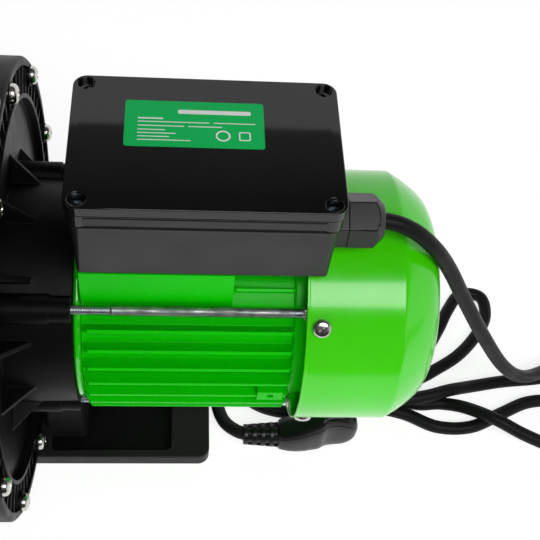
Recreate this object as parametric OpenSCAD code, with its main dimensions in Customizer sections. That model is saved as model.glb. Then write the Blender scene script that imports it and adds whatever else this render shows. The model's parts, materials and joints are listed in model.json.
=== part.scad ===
// Self-priming centrifugal water pump: fan-cooled motor, motor bracket on a foot, volute casing and strainer pot.
// X runs along the shaft towards the fan, -Y is the front, Z is up, and the floor is z = 0.

/* [Shaft line] */
// Height of the shaft centre above the floor
shaft_h = 130; // [130:1:134]
// Radius of the shaft in the bearings
journal_r = 7.5; // [7.4:0.1:7.6]

/* [Motor] */
// Outer radius of the fan cover
cover_r = 70; // [70:0.5:72]
// Radius over the tips of the cooling fins
fin_r = 64.6; // [63:0.1:65]
// Angle between neighbouring cooling fins
fin_pitch = 10; // [10, 12]
// Radius of the circle that the tie rods stand on
rod_circle_r = 62.5; // [62:0.1:63]

/* [Bracket and foot] */
// Outer radius of the bracket flange and the casing flange
flange_r = 126; // [124:1:126]
// Outer radius of the bracket barrel
barrel_r = 61.5; // [61:0.1:62]
// Width of the foot plate across the shaft
foot_w = 86; // [80:1:96]
// Thickness of the foot plate
foot_t = 10; // [9:0.5:12]

/* [Terminal box] */
// Length of the terminal box lid along the shaft
lid_l = 129.6; // [128:0.1:131]
// Width of the terminal box lid across the shaft
lid_w = 85; // [84:0.5:87]
// Height of the lid top above the shaft centre
lid_top = 119.5; // [119:0.5:121]

/* [Pump head] */
// Outer radius of the strainer pot
pot_r = 78; // [77:0.5:79]
// Radius of the pipe sockets in the union tails
socket_r = 25; // [24:0.1:25.2]
// Depth of the pipe sockets
socket_depth = 31; // [28:1:34]

/* [Cord] */
// Outer radius of the mains cord
cord_r = 4.25; // [4:0.05:4.4]

/* [Hidden] */
$fn = 72;
fit = 0.04;           // radial clearance of a located or running fit
eps = 0.5;            // overshoot of a cutter past a face
sheet_t = 0.8;        // fan cover sheet
joint_x = -63;        // plane where the casing meets the bracket
web_x = -58;          // motor side of the bracket web
face_x = -53;         // motor side of the bracket flange rim
barrel_x = -22;       // plane where the barrel meets the front end shield
frame_x = -18;        // front end of the stator frame
frame_end_x = 90;     // rear end of the stator frame
bore_r = 52;          // stator frame bore
frame_wall_r = 56.5;  // stator frame wall outside
shield_r = 59.5;      // front end shield rim
bearing_r = 17.5;     // bearing outside
bearing_w = 11;
front_bearing_x = -30;
rear_bearing_x = 85;
race_in_r = 10.4;     // outside of the inner ring
race_out_r = 14.6;    // inside of the outer ring
ball_r = 2.95;
ball_circle_r = 12.5;
ball_count = 8;
rotor_r = 30.6;
core_x0 = 5;
core_x1 = 65;
slot_count = 24;
rod_angles = [45, 135, -45, -135];
cover_screw_angles = [40, 140, -40, -140];
cover_x = 95;
cover_bend_x = 144.8;
cover_screw_x = 102.7;
flange_screw_r = 118;
flange_screws = 10;
casing_front_x = -119;
casing_wall = 6;
casing_r = 109;
discharge_x = -95;
discharge_top = 150;  // port rim above the shaft centre
pot_x = -230;
pot_wall = 5;
pot_rim_z = 236;
pot_floor_z = 26;
suction_h = 22;       // suction port above the shaft centre
suction_x = -336;     // rim of the suction port
collar_r = 36;        // threaded collar of a port
box_x = 42.5;         // middle of the terminal box along the shaft
box_y = 1.5;
well_dx = 58.3;       // lid screw positions from the middle of the lid
well_dy = 36.8;
box_floor = 69;       // underside of the terminal box above the shaft centre
box_rim = 111.5;      // top of the terminal box rim above the shaft centre
lid_rim = 113;        // underside of the lid rim above the shaft centre
gland_y = -18;
gland_h = 87.5;       // cable gland above the shaft centre
gland_x = 105.5;      // outer face of the box wall at the gland
gland_end_x = 130;
plug_y = -42;         // front face of the plug
plug_t = 24;
plug_face_r = 18.5;
plug_x = 129.5;
relief_x = 74;        // free end of the strain relief on the plug
relief_z = 12;
pin_neck_r = 1.9;     // pin inside the plug and at its tip
cord_y = -28;         // cord centre where it enters the plug
spring_turns = 4;

floor_z = 4.5;        // cord centre where it lies on the floor
over_z = 13.6;        // cord centre where it lies on another turn

// Centre line of the free cord, from inside the gland to inside the plug's strain relief
route = [
    // from the gland down to the floor
    [104, -18, 217.5], [131, -18, 217.5], [146, -19, 212], [160, -19, 198], [173, -17, 177],
    [190, -15.5, 144], [210, -14.5, 107], [231, -10.5, 71], [252, -1, 42], [273, 13, 23], [300, 32, 11],
    // outer loop past the fan end
    [331, 47, floor_z], [362, 46, floor_z], [387, 28, floor_z], [394, -2, floor_z], [378, -31, floor_z],
    [347, -43, floor_z], [312, -40, floor_z], [282, -33, floor_z],
    // back towards the motor, over the strand that leaves it
    [260, -26, 9], [240, -17, 14], [223, -6, 9], [208, -0.5, floor_z], [192, -1, floor_z],
    [176, 4, floor_z],
    // lower turn of the coil under the motor
    [162, 17, floor_z], [148, 38, floor_z], [128, 55, floor_z], [103, 61, floor_z], [80, 50, floor_z],
    [70, 28, floor_z], [77, 4, floor_z], [98, -7, floor_z], [127, -6, floor_z], [155, -3, floor_z],
    // away from the motor
    [181, -8, floor_z], [203, -18, floor_z], [226, -18, floor_z], [248, -8, floor_z], [269, 1, floor_z],
    [290, 1, floor_z], [311, -10, floor_z],
    // inner loop past the fan end
    [333, -25, floor_z], [359, -28, floor_z], [379, -13, floor_z], [383, 12, floor_z],
    [368, 32, floor_z], [343, 36, floor_z], [312, 27, floor_z], [281, 20, floor_z],
    // back again, over the strands of the lower turn
    [254, 17, floor_z], [232, 12, 6.5], [213, 5, 12.8], [197, 0, over_z], [177, -3, over_z],
    [160, 0, over_z], [145, 6, 10],
    // inner turn of the coil
    [129, 9, floor_z], [109, 8.5, floor_z], [92, 14, floor_z], [85, 29, floor_z], [92, 43, floor_z],
    [108, 48.5, floor_z], [124, 45, floor_z], [137, 35, 6.5], [149, 26, 12], [162, 20, over_z], [177, 17, 10],
    [193, 18, floor_z],
    // folded strand beside the fan cover
    [210, 27, floor_z], [226, 38, floor_z], [240, 53, floor_z], [250, 70, floor_z], [249.5, 87, floor_z],
    [235, 89.5, floor_z], [224, 76, floor_z], [214, 58, floor_z], [202, 41, floor_z], [183, 31, floor_z],
    // round the coil and to the plug
    [167, 41, floor_z], [153, 61, floor_z], [132, 77, floor_z], [104, 82, floor_z], [77, 71, floor_z],
    [61, 48, floor_z], [57.5, 20, floor_z], [58, -1, 5], [62, -16, 8], [70, -25, 11], [79, -28, 12],
    [89, -28, 12]];

function at(p, i) = p[max(0, min(len(p) - 1, i))];
function unit(v) = v / norm(v);
function heading(p, i) = unit(at(p, i + 1) - at(p, i - 1));
function ring(c, d, r, n) = let (u = unit(cross(d, [0.1, 0.2, 1])), v = cross(d, u))
    [for (k = [0 : n - 1]) c + r * cos(360 * k / n) * u + r * sin(360 * k / n) * v];

// A round tube of radius r with n sides along the points p
module tube_along(p, r, n) {
    last = len(p) - 1;
    points = [for (i = [0 : last]) each ring(p[i], heading(p, i), r, n)];
    sides = [for (i = [0 : last - 1]) for (k = [0 : n - 1])
        [i * n + k, i * n + (k + 1) % n, (i + 1) * n + (k + 1) % n, (i + 1) * n + k]];
    start = [for (k = [0 : n - 1]) n - 1 - k];
    end = [for (k = [0 : n - 1]) last * n + k];
    polyhedron(points = points, faces = concat([start], sides, [end]), convexity = 12);
}

// Turns an outline of [radius, x] points about the shaft
module lathe(outline) {
    translate([0, 0, shaft_h]) rotate([0, 90, 0]) rotate_extrude() polygon(outline);
}

// A ring about the shaft between two radii and two planes
module band(r0, r1, x0, x1) {
    lathe([[r0, x0], [r1, x0], [r1, x1], [r0, x1]]);
}

// A ring of round section about the shaft
module o_ring(ring_r, wire_r, x) {
    translate([x, 0, shaft_h]) rotate([0, 90, 0]) rotate_extrude() translate([ring_r, 0]) circle(r = wire_r, $fn = 24);
}

// Places a part at an angle about the shaft, measured upwards from the front; +Y of the part points outwards
module polar(angle) {
    translate([0, 0, shaft_h]) rotate([180 - angle, 0, 0]) children();
}

// A bar along X at an angle and radius about the shaft
module bar(angle, radius, x0, x1, r) {
    polar(angle) translate([x0, radius, 0]) rotate([0, 90, 0]) cylinder(h = x1 - x0, r = r, $fn = 32);
}

// A hexagon nut or head along X at an angle and radius about the shaft
module hex_bar(angle, radius, x0, x1, flats) {
    polar(angle) translate([x0, radius, 0]) rotate([0, 90, 0]) cylinder(h = x1 - x0, d = flats / cos(30), $fn = 6);
}

// A plate with round corners, centred in X and Y
module rounded_plate(l, w, t, r) {
    linear_extrude(t) union() {
        square([l - 2 * r, w], center = true);
        square([l, w - 2 * r], center = true);
        for (sx = [-1, 1], sy = [-1, 1]) translate([sx * (l / 2 - r), sy * (w / 2 - r)]) circle(r = r, $fn = 32);
    }
}

// A pan head that stands on z = 0, with a cross recess
module pan_head(r, h) {
    difference() {
        rotate_extrude($fn = 40) polygon([[0, 0], [r, 0], [r, h * 0.35], [r * 0.86, h * 0.75], [r * 0.55, h], [0, h]]);
        translate([-r * 0.5, -r * 0.1, h * 0.4]) cube([r, r * 0.2, h]);
        translate([-r * 0.1, -r * 0.5, h * 0.4]) cube([r * 0.2, r, h]);
    }
}

// ---- Foot and bracket ----

module base_foot() {
    pocket_x0 = -48;
    pocket_x1 = 28.4;
    foot_x0 = -52.5;
    foot_x1 = 52.6;
    wall = 3.5;
    post_x = -38;
    post_l = 24;
    post_w = 48;
    post_top = shaft_h - 64;
    color([0.07, 0.07, 0.08]) difference() {
        union() {
            difference() {
                translate([(foot_x0 + foot_x1) / 2, 0, 0]) rounded_plate(foot_x1 - foot_x0, foot_w, foot_t, 7);
                translate([(pocket_x0 + pocket_x1) / 2, 0, 3.5])
                    rounded_plate(pocket_x1 - pocket_x0, foot_w - 2 * wall, foot_t, 4);
            }
            translate([post_x, 0, 1]) rounded_plate(post_l, post_w, post_top - 1, 4);
            for (sy = [-1, 1]) translate([-26.5, sy * 15 - 2, 1]) cube([40, 4, 12]);
        }
        for (sy = [-1, 1]) translate([post_x, sy * 13, -eps]) {
            cylinder(h = post_top - 8 + eps, r = 6.4, $fn = 40);
            cylinder(h = post_top + 1, r = 3.3, $fn = 32);
        }
        for (x = [-10, 40]) translate([x, 0, -eps]) cylinder(h = foot_t + 2, r = 4.5, $fn = 40);
    }
}

module base_screws() {
    shelf = shaft_h - 72;
    color([0.8, 0.8, 0.8]) for (sy = [-1, 1]) translate([-38, sy * 13, 0]) {
        translate([0, 0, shelf]) rotate([180, 0, 0]) pan_head(5.6, 3.8);
        translate([0, 0, shelf - 1]) cylinder(h = 14, r = 3 - fit, $fn = 32);
    }
}

module bracket_rod_boss(angle) {
    bar(angle, rod_circle_r, web_x - 1, -33, 7.6);
    bar(angle, rod_circle_r, -34, barrel_x - 0.4, 6.8);
}

module bracket_gusset(angle) {
    polar(angle) translate([0, 0, -1.5]) linear_extrude(3)
        polygon([[web_x - 1, 59], [-42, 59], [-42, 61.6], [web_x - 1, 79]]);
}

module motor_bracket() {
    ribs = 60;
    lip = 5;
    inner_ring_r = 104;
    hub_r = 22;
    hub_x = -52;
    barrel_bore_r = barrel_r - 4.5;
    color([0.06, 0.06, 0.07]) difference() {
        union() {
            lathe([[15 + fit, joint_x], [flange_r, joint_x], [flange_r, face_x - 1.5], [flange_r - 1.5, face_x],
                [flange_r - lip, face_x], [flange_r - lip, web_x], [inner_ring_r + 2.5, web_x],
                [inner_ring_r + 2.5, face_x], [inner_ring_r, face_x], [inner_ring_r, web_x], [barrel_r + 0.8, web_x],
                [barrel_r, barrel_x], [8.6, barrel_x], [8.6, -54], [15 + fit, -54]]);
            for (k = [0 : ribs - 1]) polar(360 * (k + 0.5) / ribs) translate([web_x - 1, inner_ring_r + 2, -1])
                cube([4.6, flange_r - lip - inner_ring_r - 1, 2]);
            for (k = [0 : flange_screws - 1]) bar(360 * k / flange_screws, flange_screw_r, web_x - 1, face_x + 0.4, 6);
            for (k = [0 : 11]) if (k != 9) bracket_gusset(30 * k - 2);
            for (a = rod_angles) bracket_rod_boss(a);
            translate([-51, -24, shaft_h - 64]) cube([26, 48, 11]);
        }
        lathe([[hub_r, web_x], [barrel_bore_r, web_x], [barrel_bore_r, barrel_x + 1], [0, barrel_x + 1],
            [0, hub_x], [hub_r, hub_x]]);
        for (a = rod_angles) bar(a, rod_circle_r, -41, barrel_x + 1, 2.5 + fit);
        for (k = [0 : flange_screws - 1])
            bar(360 * k / flange_screws, flange_screw_r, joint_x - 1, face_x + 1, 2.5 + fit);
        band(104.2, 107.8, joint_x - 1, joint_x + 2.8);
        for (sy = [-1, 1]) translate([-38, sy * 13, shaft_h - 65]) cylinder(h = 7, r = 3, $fn = 32);
    }
}

module casing_screws() {
    color([0.82, 0.82, 0.8]) for (k = [0 : flange_screws - 1]) {
        a = 360 * k / flange_screws;
        bar(a, flange_screw_r, -81, face_x + 1, 2.5);
        polar(a) translate([face_x + 0.42, flange_screw_r, 0]) rotate([0, 90, 0]) pan_head(5.2, 3.8);
    }
}

module casing_nuts() {
    color([0.78, 0.78, 0.76]) for (k = [0 : flange_screws - 1]) difference() {
        hex_bar(360 * k / flange_screws, flange_screw_r, -79, -75, 8);
        bar(360 * k / flange_screws, flange_screw_r, -80, -74, 2.5 + fit);
    }
}

module casing_seal() {
    color([0.1, 0.1, 0.1]) o_ring(106, 1.38, joint_x + 1.4);
}

// ---- Pump head ----

module pump_casing() {
    inner_r = casing_r - casing_wall;
    neck_x = -129;
    flange_x = -75;
    color([0.09, 0.09, 0.1]) difference() {
        union() {
            lathe([[inner_r, joint_x - 0.02], [flange_r, joint_x - 0.02], [flange_r, flange_x], [casing_r, flange_x],
                [casing_r, -104], [casing_r - 5, -114], [casing_r - 13, casing_front_x], [36, casing_front_x],
                [36, neck_x], [29, neck_x], [29, -113], [92, -113], [inner_r - 3, -109], [inner_r, -102]]);
            translate([discharge_x, 0, shaft_h + 92]) cylinder(h = discharge_top - 92, r = 31);
            translate([discharge_x, 0, shaft_h + discharge_top - 14]) cylinder(h = 14, r = collar_r);
            for (k = [0 : 11]) polar(30 * k + 15) translate([casing_front_x - 4, 40, -1.5]) cube([5, 54, 3]);
            translate([-129, -46, shaft_h - 46]) cube([8, 92, 92]);
            translate([discharge_x, -58, shaft_h - 82]) rotate([90, 0, 0]) cylinder(h = 24, r = 11, $fn = 40);
        }
        lathe([[0, joint_x + 1], [inner_r, joint_x + 1], [inner_r, -102], [inner_r - 3, -109], [92, -113],
            [29, -113], [29, neck_x - 1], [0, neck_x - 1]]);
        translate([discharge_x, 0, shaft_h + 80]) cylinder(h = discharge_top, r = socket_r);
        for (k = [0 : flange_screws - 1])
            bar(360 * k / flange_screws, flange_screw_r, flange_x - 1, joint_x + 1, 2.5 + fit);
        for (sy = [-1, 1], sz = [-1, 1]) translate([neck_x - 1, sy * 38, shaft_h + sz * 38]) rotate([0, 90, 0])
            cylinder(h = 10, r = 4 + fit, $fn = 32);
        translate([discharge_x, -40, shaft_h - 82]) rotate([90, 0, 0]) cylinder(h = 60, r = 6.5, $fn = 40);
    }
}

module diffuser() {
    vanes = 9;
    color([0.85, 0.85, 0.82]) difference() {
        union() {
            band(27.6, 84, -112.9, -110);
            band(27.6, 31, -111, -106.6);
            for (k = [0 : vanes - 1]) polar(360 * k / vanes) translate([-111, 64, 0]) rotate([-40, 0, 0])
                translate([0, 0, -1.2]) cube([111 + joint_x - 0.02, 22, 2.4]);
        }
        band(20, 27.6, -114, -105);
    }
}

// The outline of one backswept blade, as a band along a spiral
function spiral(r, turn) = [r * cos(turn), r * sin(turn)];
function blade_side(offset) = [for (i = [0 : 8]) spiral(15 + i * 5.4, 9 * i + offset)];
function blade_outline() = let (back = blade_side(5)) concat(blade_side(0), [for (i = [8 : -1 : 0]) back[i]]);

module impeller() {
    blades = 6;
    color([0.88, 0.87, 0.82]) {
        difference() {
            union() {
                lathe([[6 + fit, -96], [13, -96], [14, -84], [60, -82], [60, -79], [14, -79], [6 + fit, -79]]);
                lathe([[24, -109.5], [27, -109.5], [27, -102], [60, -96], [60, -94], [24, -100.5]]);
                intersection() {
                    for (k = [0 : blades - 1]) translate([-101, 0, shaft_h]) rotate([60 * k, 0, 0]) rotate([90, 0, 90])
                        linear_extrude(20) polygon(blade_outline());
                    lathe([[12, -82], [12, -100], [24, -101], [59.9, -95], [59.9, -81.5], [14, -82.5]]);
                }
            }
            bar(0, 0, -97, -78, 6 + fit);
        }
    }
}

module impeller_nut() {
    color([0.75, 0.7, 0.5]) difference() {
        union() {
            hex_bar(0, 0, -103, -96.02, 17);
            lathe([[0, -106.5], [4, -105.8], [7, -103], [0, -103]]);
        }
        bar(0, 0, -104.5, -95, 5 + fit);
    }
}

module seal_seat() {
    color([0.93, 0.92, 0.88]) band(8.4, 15, joint_x, -54.02);
}

module seal_head() {
    color([0.15, 0.15, 0.16]) lathe([[7 + fit, -78.9], [11, -78.9], [11, -70], [13, -68], [13, joint_x - 0.02],
        [8.4, joint_x - 0.02], [8.4, -66], [7 + fit, -66]]);
}

module seal_spring() {
    function coil(t) = [-77.9 + 6.8 * t, 12.6 * cos(360 * spring_turns * t), shaft_h + 12.6 * sin(360 * spring_turns * t)];
    color([0.75, 0.75, 0.75]) tube_along([for (i = [0 : 56]) coil(i / 56)], 0.6, 8);
}

module slinger() {
    color([0.12, 0.12, 0.12]) lathe([[journal_r + fit, -46], [11, -46], [15, -43.5], [15, -42], [10, -42.5],
        [10, -40], [journal_r + fit, -40]]);
}

module strainer_pot() {
    duct_x = -139;
    port_z = shaft_h + suction_h;
    color([0.09, 0.09, 0.1]) difference() {
        union() {
            translate([pot_x, 0, 0]) rotate_extrude($fn = 96) polygon([[0, pot_floor_z - 5], [pot_r - 8, pot_floor_z - 5],
                [pot_r, pot_floor_z + 4], [pot_r, 222], [84, 224], [84, pot_rim_z], [0, pot_rim_z]]);
            translate([pot_x, 0, shaft_h]) rotate([0, 90, 0]) cylinder(h = duct_x - pot_x + 1, r = 35);
            translate([duct_x, -46, shaft_h - 46]) cube([8, 92, 92]);
            translate([suction_x, 0, port_z]) rotate([0, 90, 0]) cylinder(h = pot_x - suction_x, r = 31);
            translate([suction_x, 0, port_z]) rotate([0, 90, 0]) cylinder(h = 14, r = collar_r);
            translate([pot_x, 0, 0]) rounded_plate(96, 130, 8, 10);
            for (sx = [-1, 1]) translate([pot_x + sx * 34 - 3, -48, 4]) cube([6, 96, pot_floor_z]);
            translate([pot_x - 40, -3, 4]) cube([80, 6, pot_floor_z]);
            for (k = [0 : 11]) translate([pot_x, 0, 196]) rotate([0, 0, 30 * k + 15]) translate([pot_r - 1, -1.5, 0])
                cube([6, 3, 30]);
            translate([pot_x, -70, 46]) rotate([90, 0, 0]) cylinder(h = 18, r = 11, $fn = 40);
        }
        translate([pot_x, 0, 0]) rotate_extrude($fn = 96) polygon([[0, pot_floor_z], [pot_r - 11, pot_floor_z],
            [pot_r - pot_wall, pot_floor_z + 6], [pot_r - pot_wall, 206], [66, 208], [66, 212], [pot_r - pot_wall, 212],
            [pot_r - pot_wall, pot_rim_z + 1], [0, pot_rim_z + 1]]);
        translate([pot_x, 0, shaft_h]) rotate([0, 90, 0]) cylinder(h = 110, r = 29);
        translate([suction_x - 1, 0, port_z]) rotate([0, 90, 0]) cylinder(h = 90, r = socket_r);
        for (sy = [-1, 1], sz = [-1, 1]) translate([duct_x - 1, sy * 38, shaft_h + sz * 38]) rotate([0, 90, 0])
            cylinder(h = 10, r = 4 + fit, $fn = 32);
        for (sy = [-1, 1]) translate([pot_x, sy * 56, -eps]) cylinder(h = 10, r = 4.5, $fn = 40);
        translate([pot_x, -50, 46]) rotate([90, 0, 0]) cylinder(h = 60, r = 6.5, $fn = 40);
        translate([pot_x, 0, pot_rim_z - 2.4]) difference() {
            cylinder(h = 3, r = 81.2);
            translate([0, 0, -1]) cylinder(h = 5, r = 77);
        }
    }
}

module pot_gasket() {
    color([0.13, 0.13, 0.13]) difference() {
        translate([-130.98, -46, shaft_h - 46]) cube([1.96, 92, 92]);
        bar(0, 0, -132, -128, 29);
        for (sy = [-1, 1], sz = [-1, 1]) translate([-132, sy * 38, shaft_h + sz * 38]) rotate([0, 90, 0])
            cylinder(h = 4, r = 4 + fit, $fn = 32);
    }
}

module pot_bolts() {
    color([0.8, 0.8, 0.78]) for (sy = [-1, 1], sz = [-1, 1]) translate([0, sy * 38, shaft_h + sz * 38]) {
        translate([-144.5, 0, 0]) rotate([0, 90, 0]) cylinder(h = 5.5, d = 13 / cos(30), $fn = 6);
        translate([-140, 0, 0]) rotate([0, 90, 0]) cylinder(h = 19, r = 4, $fn = 32);
    }
}

module strainer_basket() {
    basket_r = 61;
    rim_z = 212;
    floor_z = 36;
    color([0.9, 0.9, 0.88]) translate([pot_x, 0, 0]) difference() {
        union() {
            rotate_extrude() polygon([[0, floor_z], [basket_r - 4, floor_z], [basket_r, floor_z + 4], [basket_r, rim_z],
                [70, rim_z], [70, rim_z + 3], [basket_r - 3, rim_z + 3], [basket_r - 3, floor_z + 5],
                [basket_r - 5.5, floor_z + 3], [0, floor_z + 3]]);
            for (side = [-1, 1]) translate([-3, side * 58 - 2, rim_z]) cube([6, 4, 14]);
            translate([-3, -60, rim_z + 11]) cube([6, 120, 3]);
        }
        for (k = [0 : 11]) rotate([0, 0, 15 * k]) for (z = [46, 78, 168]) translate([-80, -3.5, z]) cube([160, 7, 26]);
        for (k = [3 : 8]) rotate([0, 0, 15 * k + 7.5]) for (z = [110, 138]) translate([-80, -3, z]) cube([160, 6, 22]);
        translate([-80, 0, shaft_h + suction_h]) rotate([0, 90, 0]) cylinder(h = 60, r = 26);
        for (x = [-48 : 12 : 48]) for (y = [-36, -12, 12, 36]) translate([x - 3, y - 9, floor_z - 1]) cube([6, 18, 5]);
    }
}

module strainer_lid() {
    color([0.75, 0.85, 0.9, 0.4]) translate([pot_x, 0, 0]) rotate_extrude($fn = 96) polygon([[0, 251], [40, 249.4],
        [58, 245], [63, pot_rim_z + 3], [66, pot_rim_z + 0.02], [83, pot_rim_z + 0.02], [83, pot_rim_z + 6],
        [67, pot_rim_z + 6], [61, 249], [41, 253.4], [0, 255]]);
}

module lid_seal() {
    color([0.1, 0.1, 0.1]) translate([pot_x, 0, pot_rim_z - 1.2]) rotate_extrude($fn = 96) translate([79.1, 0])
        circle(r = 1.16, $fn = 24);
}

module lock_ring() {
    color([0.08, 0.08, 0.09]) translate([pot_x, 0, 0]) {
        rotate_extrude($fn = 96) polygon([[85.1, 226], [88.5, 226], [88.5, 243], [86, 247], [70, 247],
            [70, pot_rim_z + 6.04], [83.1, pot_rim_z + 6.04], [85.1, pot_rim_z + 4]]);
        for (a = [0 : 90 : 270]) rotate([0, 0, a + 27]) difference() {
            translate([87, -11, 228]) cube([16, 22, 15]);
            translate([107, 0, 227]) cylinder(h = 17, r = 8, $fn = 40);
        }
    }
}

module drain_plug(x, y, z) {
    translate([x, y, z]) rotate([90, 0, 0]) {
        translate([0, 0, -12]) cylinder(h = 13, r = 6.5 - fit, $fn = 40);
        difference() {
            cylinder(h = 8, r = 10, $fn = 48);
            for (k = [0 : 11]) rotate([0, 0, 30 * k]) translate([10.6, 0, 2]) cylinder(h = 9, r = 1.6, $fn = 16);
        }
    }
}

module drain_plugs() {
    color([0.08, 0.08, 0.09]) {
        drain_plug(discharge_x, -82.02, shaft_h - 82);
        drain_plug(pot_x, -88.02, 46);
    }
}

// A union nut about Z; the port rim is at z = 0 and the tail leaves upwards
module union_nut() {
    rotate_extrude($fn = 96) polygon([[collar_r + 0.08, -13], [43, -13], [43, 7], [41, 9], [31.6, 9], [31.6, 6.04],
        [collar_r + 0.08, 6.04]]);
    for (k = [0 : 11]) rotate([0, 0, 30 * k]) translate([41.5, -3, -11]) cube([3, 6, 17]);
}

// A union tail about Z with a pipe socket at its free end
module union_tail() {
    difference() {
        union() {
            cylinder(h = 6, r = 35.6);
            cylinder(h = 12 + socket_depth, r = 31.5);
        }
        translate([0, 0, -1]) cylinder(h = 20 + socket_depth, r = socket_r - 3);
        translate([0, 0, 12]) cylinder(h = socket_depth + 1, r = socket_r);
        translate([0, 0, -eps]) difference() {
            cylinder(h = 2.2 + eps, r = 32.4);
            translate([0, 0, -1]) cylinder(h = 5, r = 28);
        }
    }
}

module at_discharge() {
    translate([discharge_x, 0, shaft_h + discharge_top]) children();
}

module at_suction() {
    translate([suction_x, 0, shaft_h + suction_h]) rotate([0, -90, 0]) children();
}

module discharge_nut() {
    color([0.08, 0.08, 0.09]) at_discharge() union_nut();
}

module suction_nut() {
    color([0.08, 0.08, 0.09]) at_suction() union_nut();
}

module union_tails() {
    color([0.1, 0.1, 0.11]) {
        at_discharge() translate([0, 0, 0.02]) union_tail();
        at_suction() translate([0, 0, 0.02]) union_tail();
    }
}

module union_seal() {
    translate([0, 0, 1.12]) rotate_extrude() translate([30.2, 0]) circle(r = 1.05, $fn = 24);
}

module union_seals() {
    color([0.12, 0.12, 0.12]) {
        at_discharge() union_seal();
        at_suction() union_seal();
    }
}

// ---- Shaft line ----

module shaft() {
    color([0.75, 0.76, 0.78]) lathe([[0, -103], [4.4, -103], [5, -102.2], [5, -96], [6, -96], [6, -79], [7, -79],
        [7, -50], [journal_r, -50], [journal_r, -19], [9.5, -19], [9.5, rear_bearing_x],
        [journal_r, rear_bearing_x], [journal_r, 112], [6.5, 112], [6.5, 142], [6, 142], [6, 143.2],
        [6.5, 143.2], [6.5, 146.2], [5.8, 147], [0, 147]]);
}

module rotor_core() {
    bars = 22;
    color([0.55, 0.56, 0.58]) difference() {
        union() {
            band(9.5 + fit, rotor_r, core_x0 - 2, core_x1 + 2);
            band(20, 29, core_x0 - 8, core_x1 + 8);
        }
        for (k = [0 : bars - 1]) bar(360 * k / bars, rotor_r + 0.6, core_x0 - 1, core_x1 + 1, 1);
    }
}

module bearing_outer(x) {
    difference() {
        band(race_out_r, bearing_r - 0.02, x, x + bearing_w);
        o_ring(ball_circle_r, ball_r + 0.05, x + bearing_w / 2);
    }
}

module bearing_inner(x) {
    difference() {
        band(journal_r + 0.02, race_in_r, x, x + bearing_w);
        o_ring(ball_circle_r, ball_r + 0.05, x + bearing_w / 2);
    }
}

module bearing_balls(x) {
    for (k = [0 : ball_count - 1]) polar(360 * k / ball_count) translate([x + bearing_w / 2, ball_circle_r, 0])
        sphere(r = ball_r, $fn = 24);
}

module front_bearing_outer() {
    color([0.8, 0.8, 0.82]) bearing_outer(front_bearing_x);
}

module front_bearing_inner() {
    color([0.8, 0.8, 0.82]) bearing_inner(front_bearing_x);
}

module front_bearing_balls() {
    color([0.85, 0.85, 0.87]) bearing_balls(front_bearing_x);
}

module rear_bearing_outer() {
    color([0.8, 0.8, 0.82]) bearing_outer(rear_bearing_x);
}

module rear_bearing_inner() {
    color([0.8, 0.8, 0.82]) bearing_inner(rear_bearing_x);
}

module rear_bearing_balls() {
    color([0.85, 0.85, 0.87]) bearing_balls(rear_bearing_x);
}

module wave_washer() {
    color([0.7, 0.7, 0.7]) band(13, 17.2, rear_bearing_x + bearing_w + 0.02, rear_bearing_x + bearing_w + 1.1);
}

// ---- Motor ----

module front_end_shield() {
    color([0.1, 0.75, 0.05]) difference() {
        lathe([[9.2, -33], [24, -33], [24, -20], [50, -20], [50, -26], [barrel_r - 4.5 - fit, -26],
            [barrel_r - 4.5 - fit, barrel_x + 0.01], [shield_r - 1.4, barrel_x + 0.01], [shield_r - 0.3, barrel_x + 0.8],
            [shield_r, barrel_x + 1.8], [shield_r - 0.3, frame_x - 1.2], [shield_r - 1.2, frame_x - 0.01], [bore_r - fit, frame_x - 0.01],
            [bore_r - fit, -9], [48.5, -9], [48.5, -16], [24, -16], [24, -15], [bearing_r, -15], [bearing_r, -30.2],
            [9.2, -30.2]]);
        for (k = [0 : 5]) bar(60 * k, 37, -22, -14, 5);
    }
}

module rear_end_shield() {
    rim_r = 56;
    color([0.12, 0.7, 0.08]) difference() {
        union() {
            lathe([[9.2, 99.5], [24, 99.5], [24, 95], [50, 95], [50, 107], [rim_r, 107], [rim_r, frame_end_x + 0.01],
                [bore_r - fit, frame_end_x + 0.01], [bore_r - fit, 86], [48.5, 86], [48.5, 91], [24, 91], [24, 84],
                [bearing_r, 84], [bearing_r, 97.3], [9.2, 97.3]]);
            for (a = rod_angles) {
                bar(a, rod_circle_r, frame_end_x + 0.01, 94, 6);
                polar(a) translate([frame_end_x + 0.01, 50, -6]) cube([3.99, 12.5, 12]);
            }
            for (a = cover_screw_angles) polar(a) translate([99.8, 52, -4.5]) cube([7, 17, 9]);
        }
        for (a = rod_angles) bar(a, rod_circle_r, 85, 95, 2.5 + fit);
        for (a = cover_screw_angles) polar(a) translate([cover_screw_x, 58, 0]) rotate([-90, 0, 0])
            cylinder(h = 14, r = 2 + fit, $fn = 32);
        for (k = [0 : 5]) bar(60 * k, 37, 90, 96, 5);
    }
}

module cooling_fin(angle, x0, x1) {
    polar(angle) translate([0, 0, -1]) linear_extrude(2) polygon([[x0, frame_wall_r - 1], [x0, fin_r - 3],
        [x0 + 2.5, fin_r], [x1 - 1.5, fin_r], [x1, fin_r - 2], [x1, frame_wall_r - 1]]);
}

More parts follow.
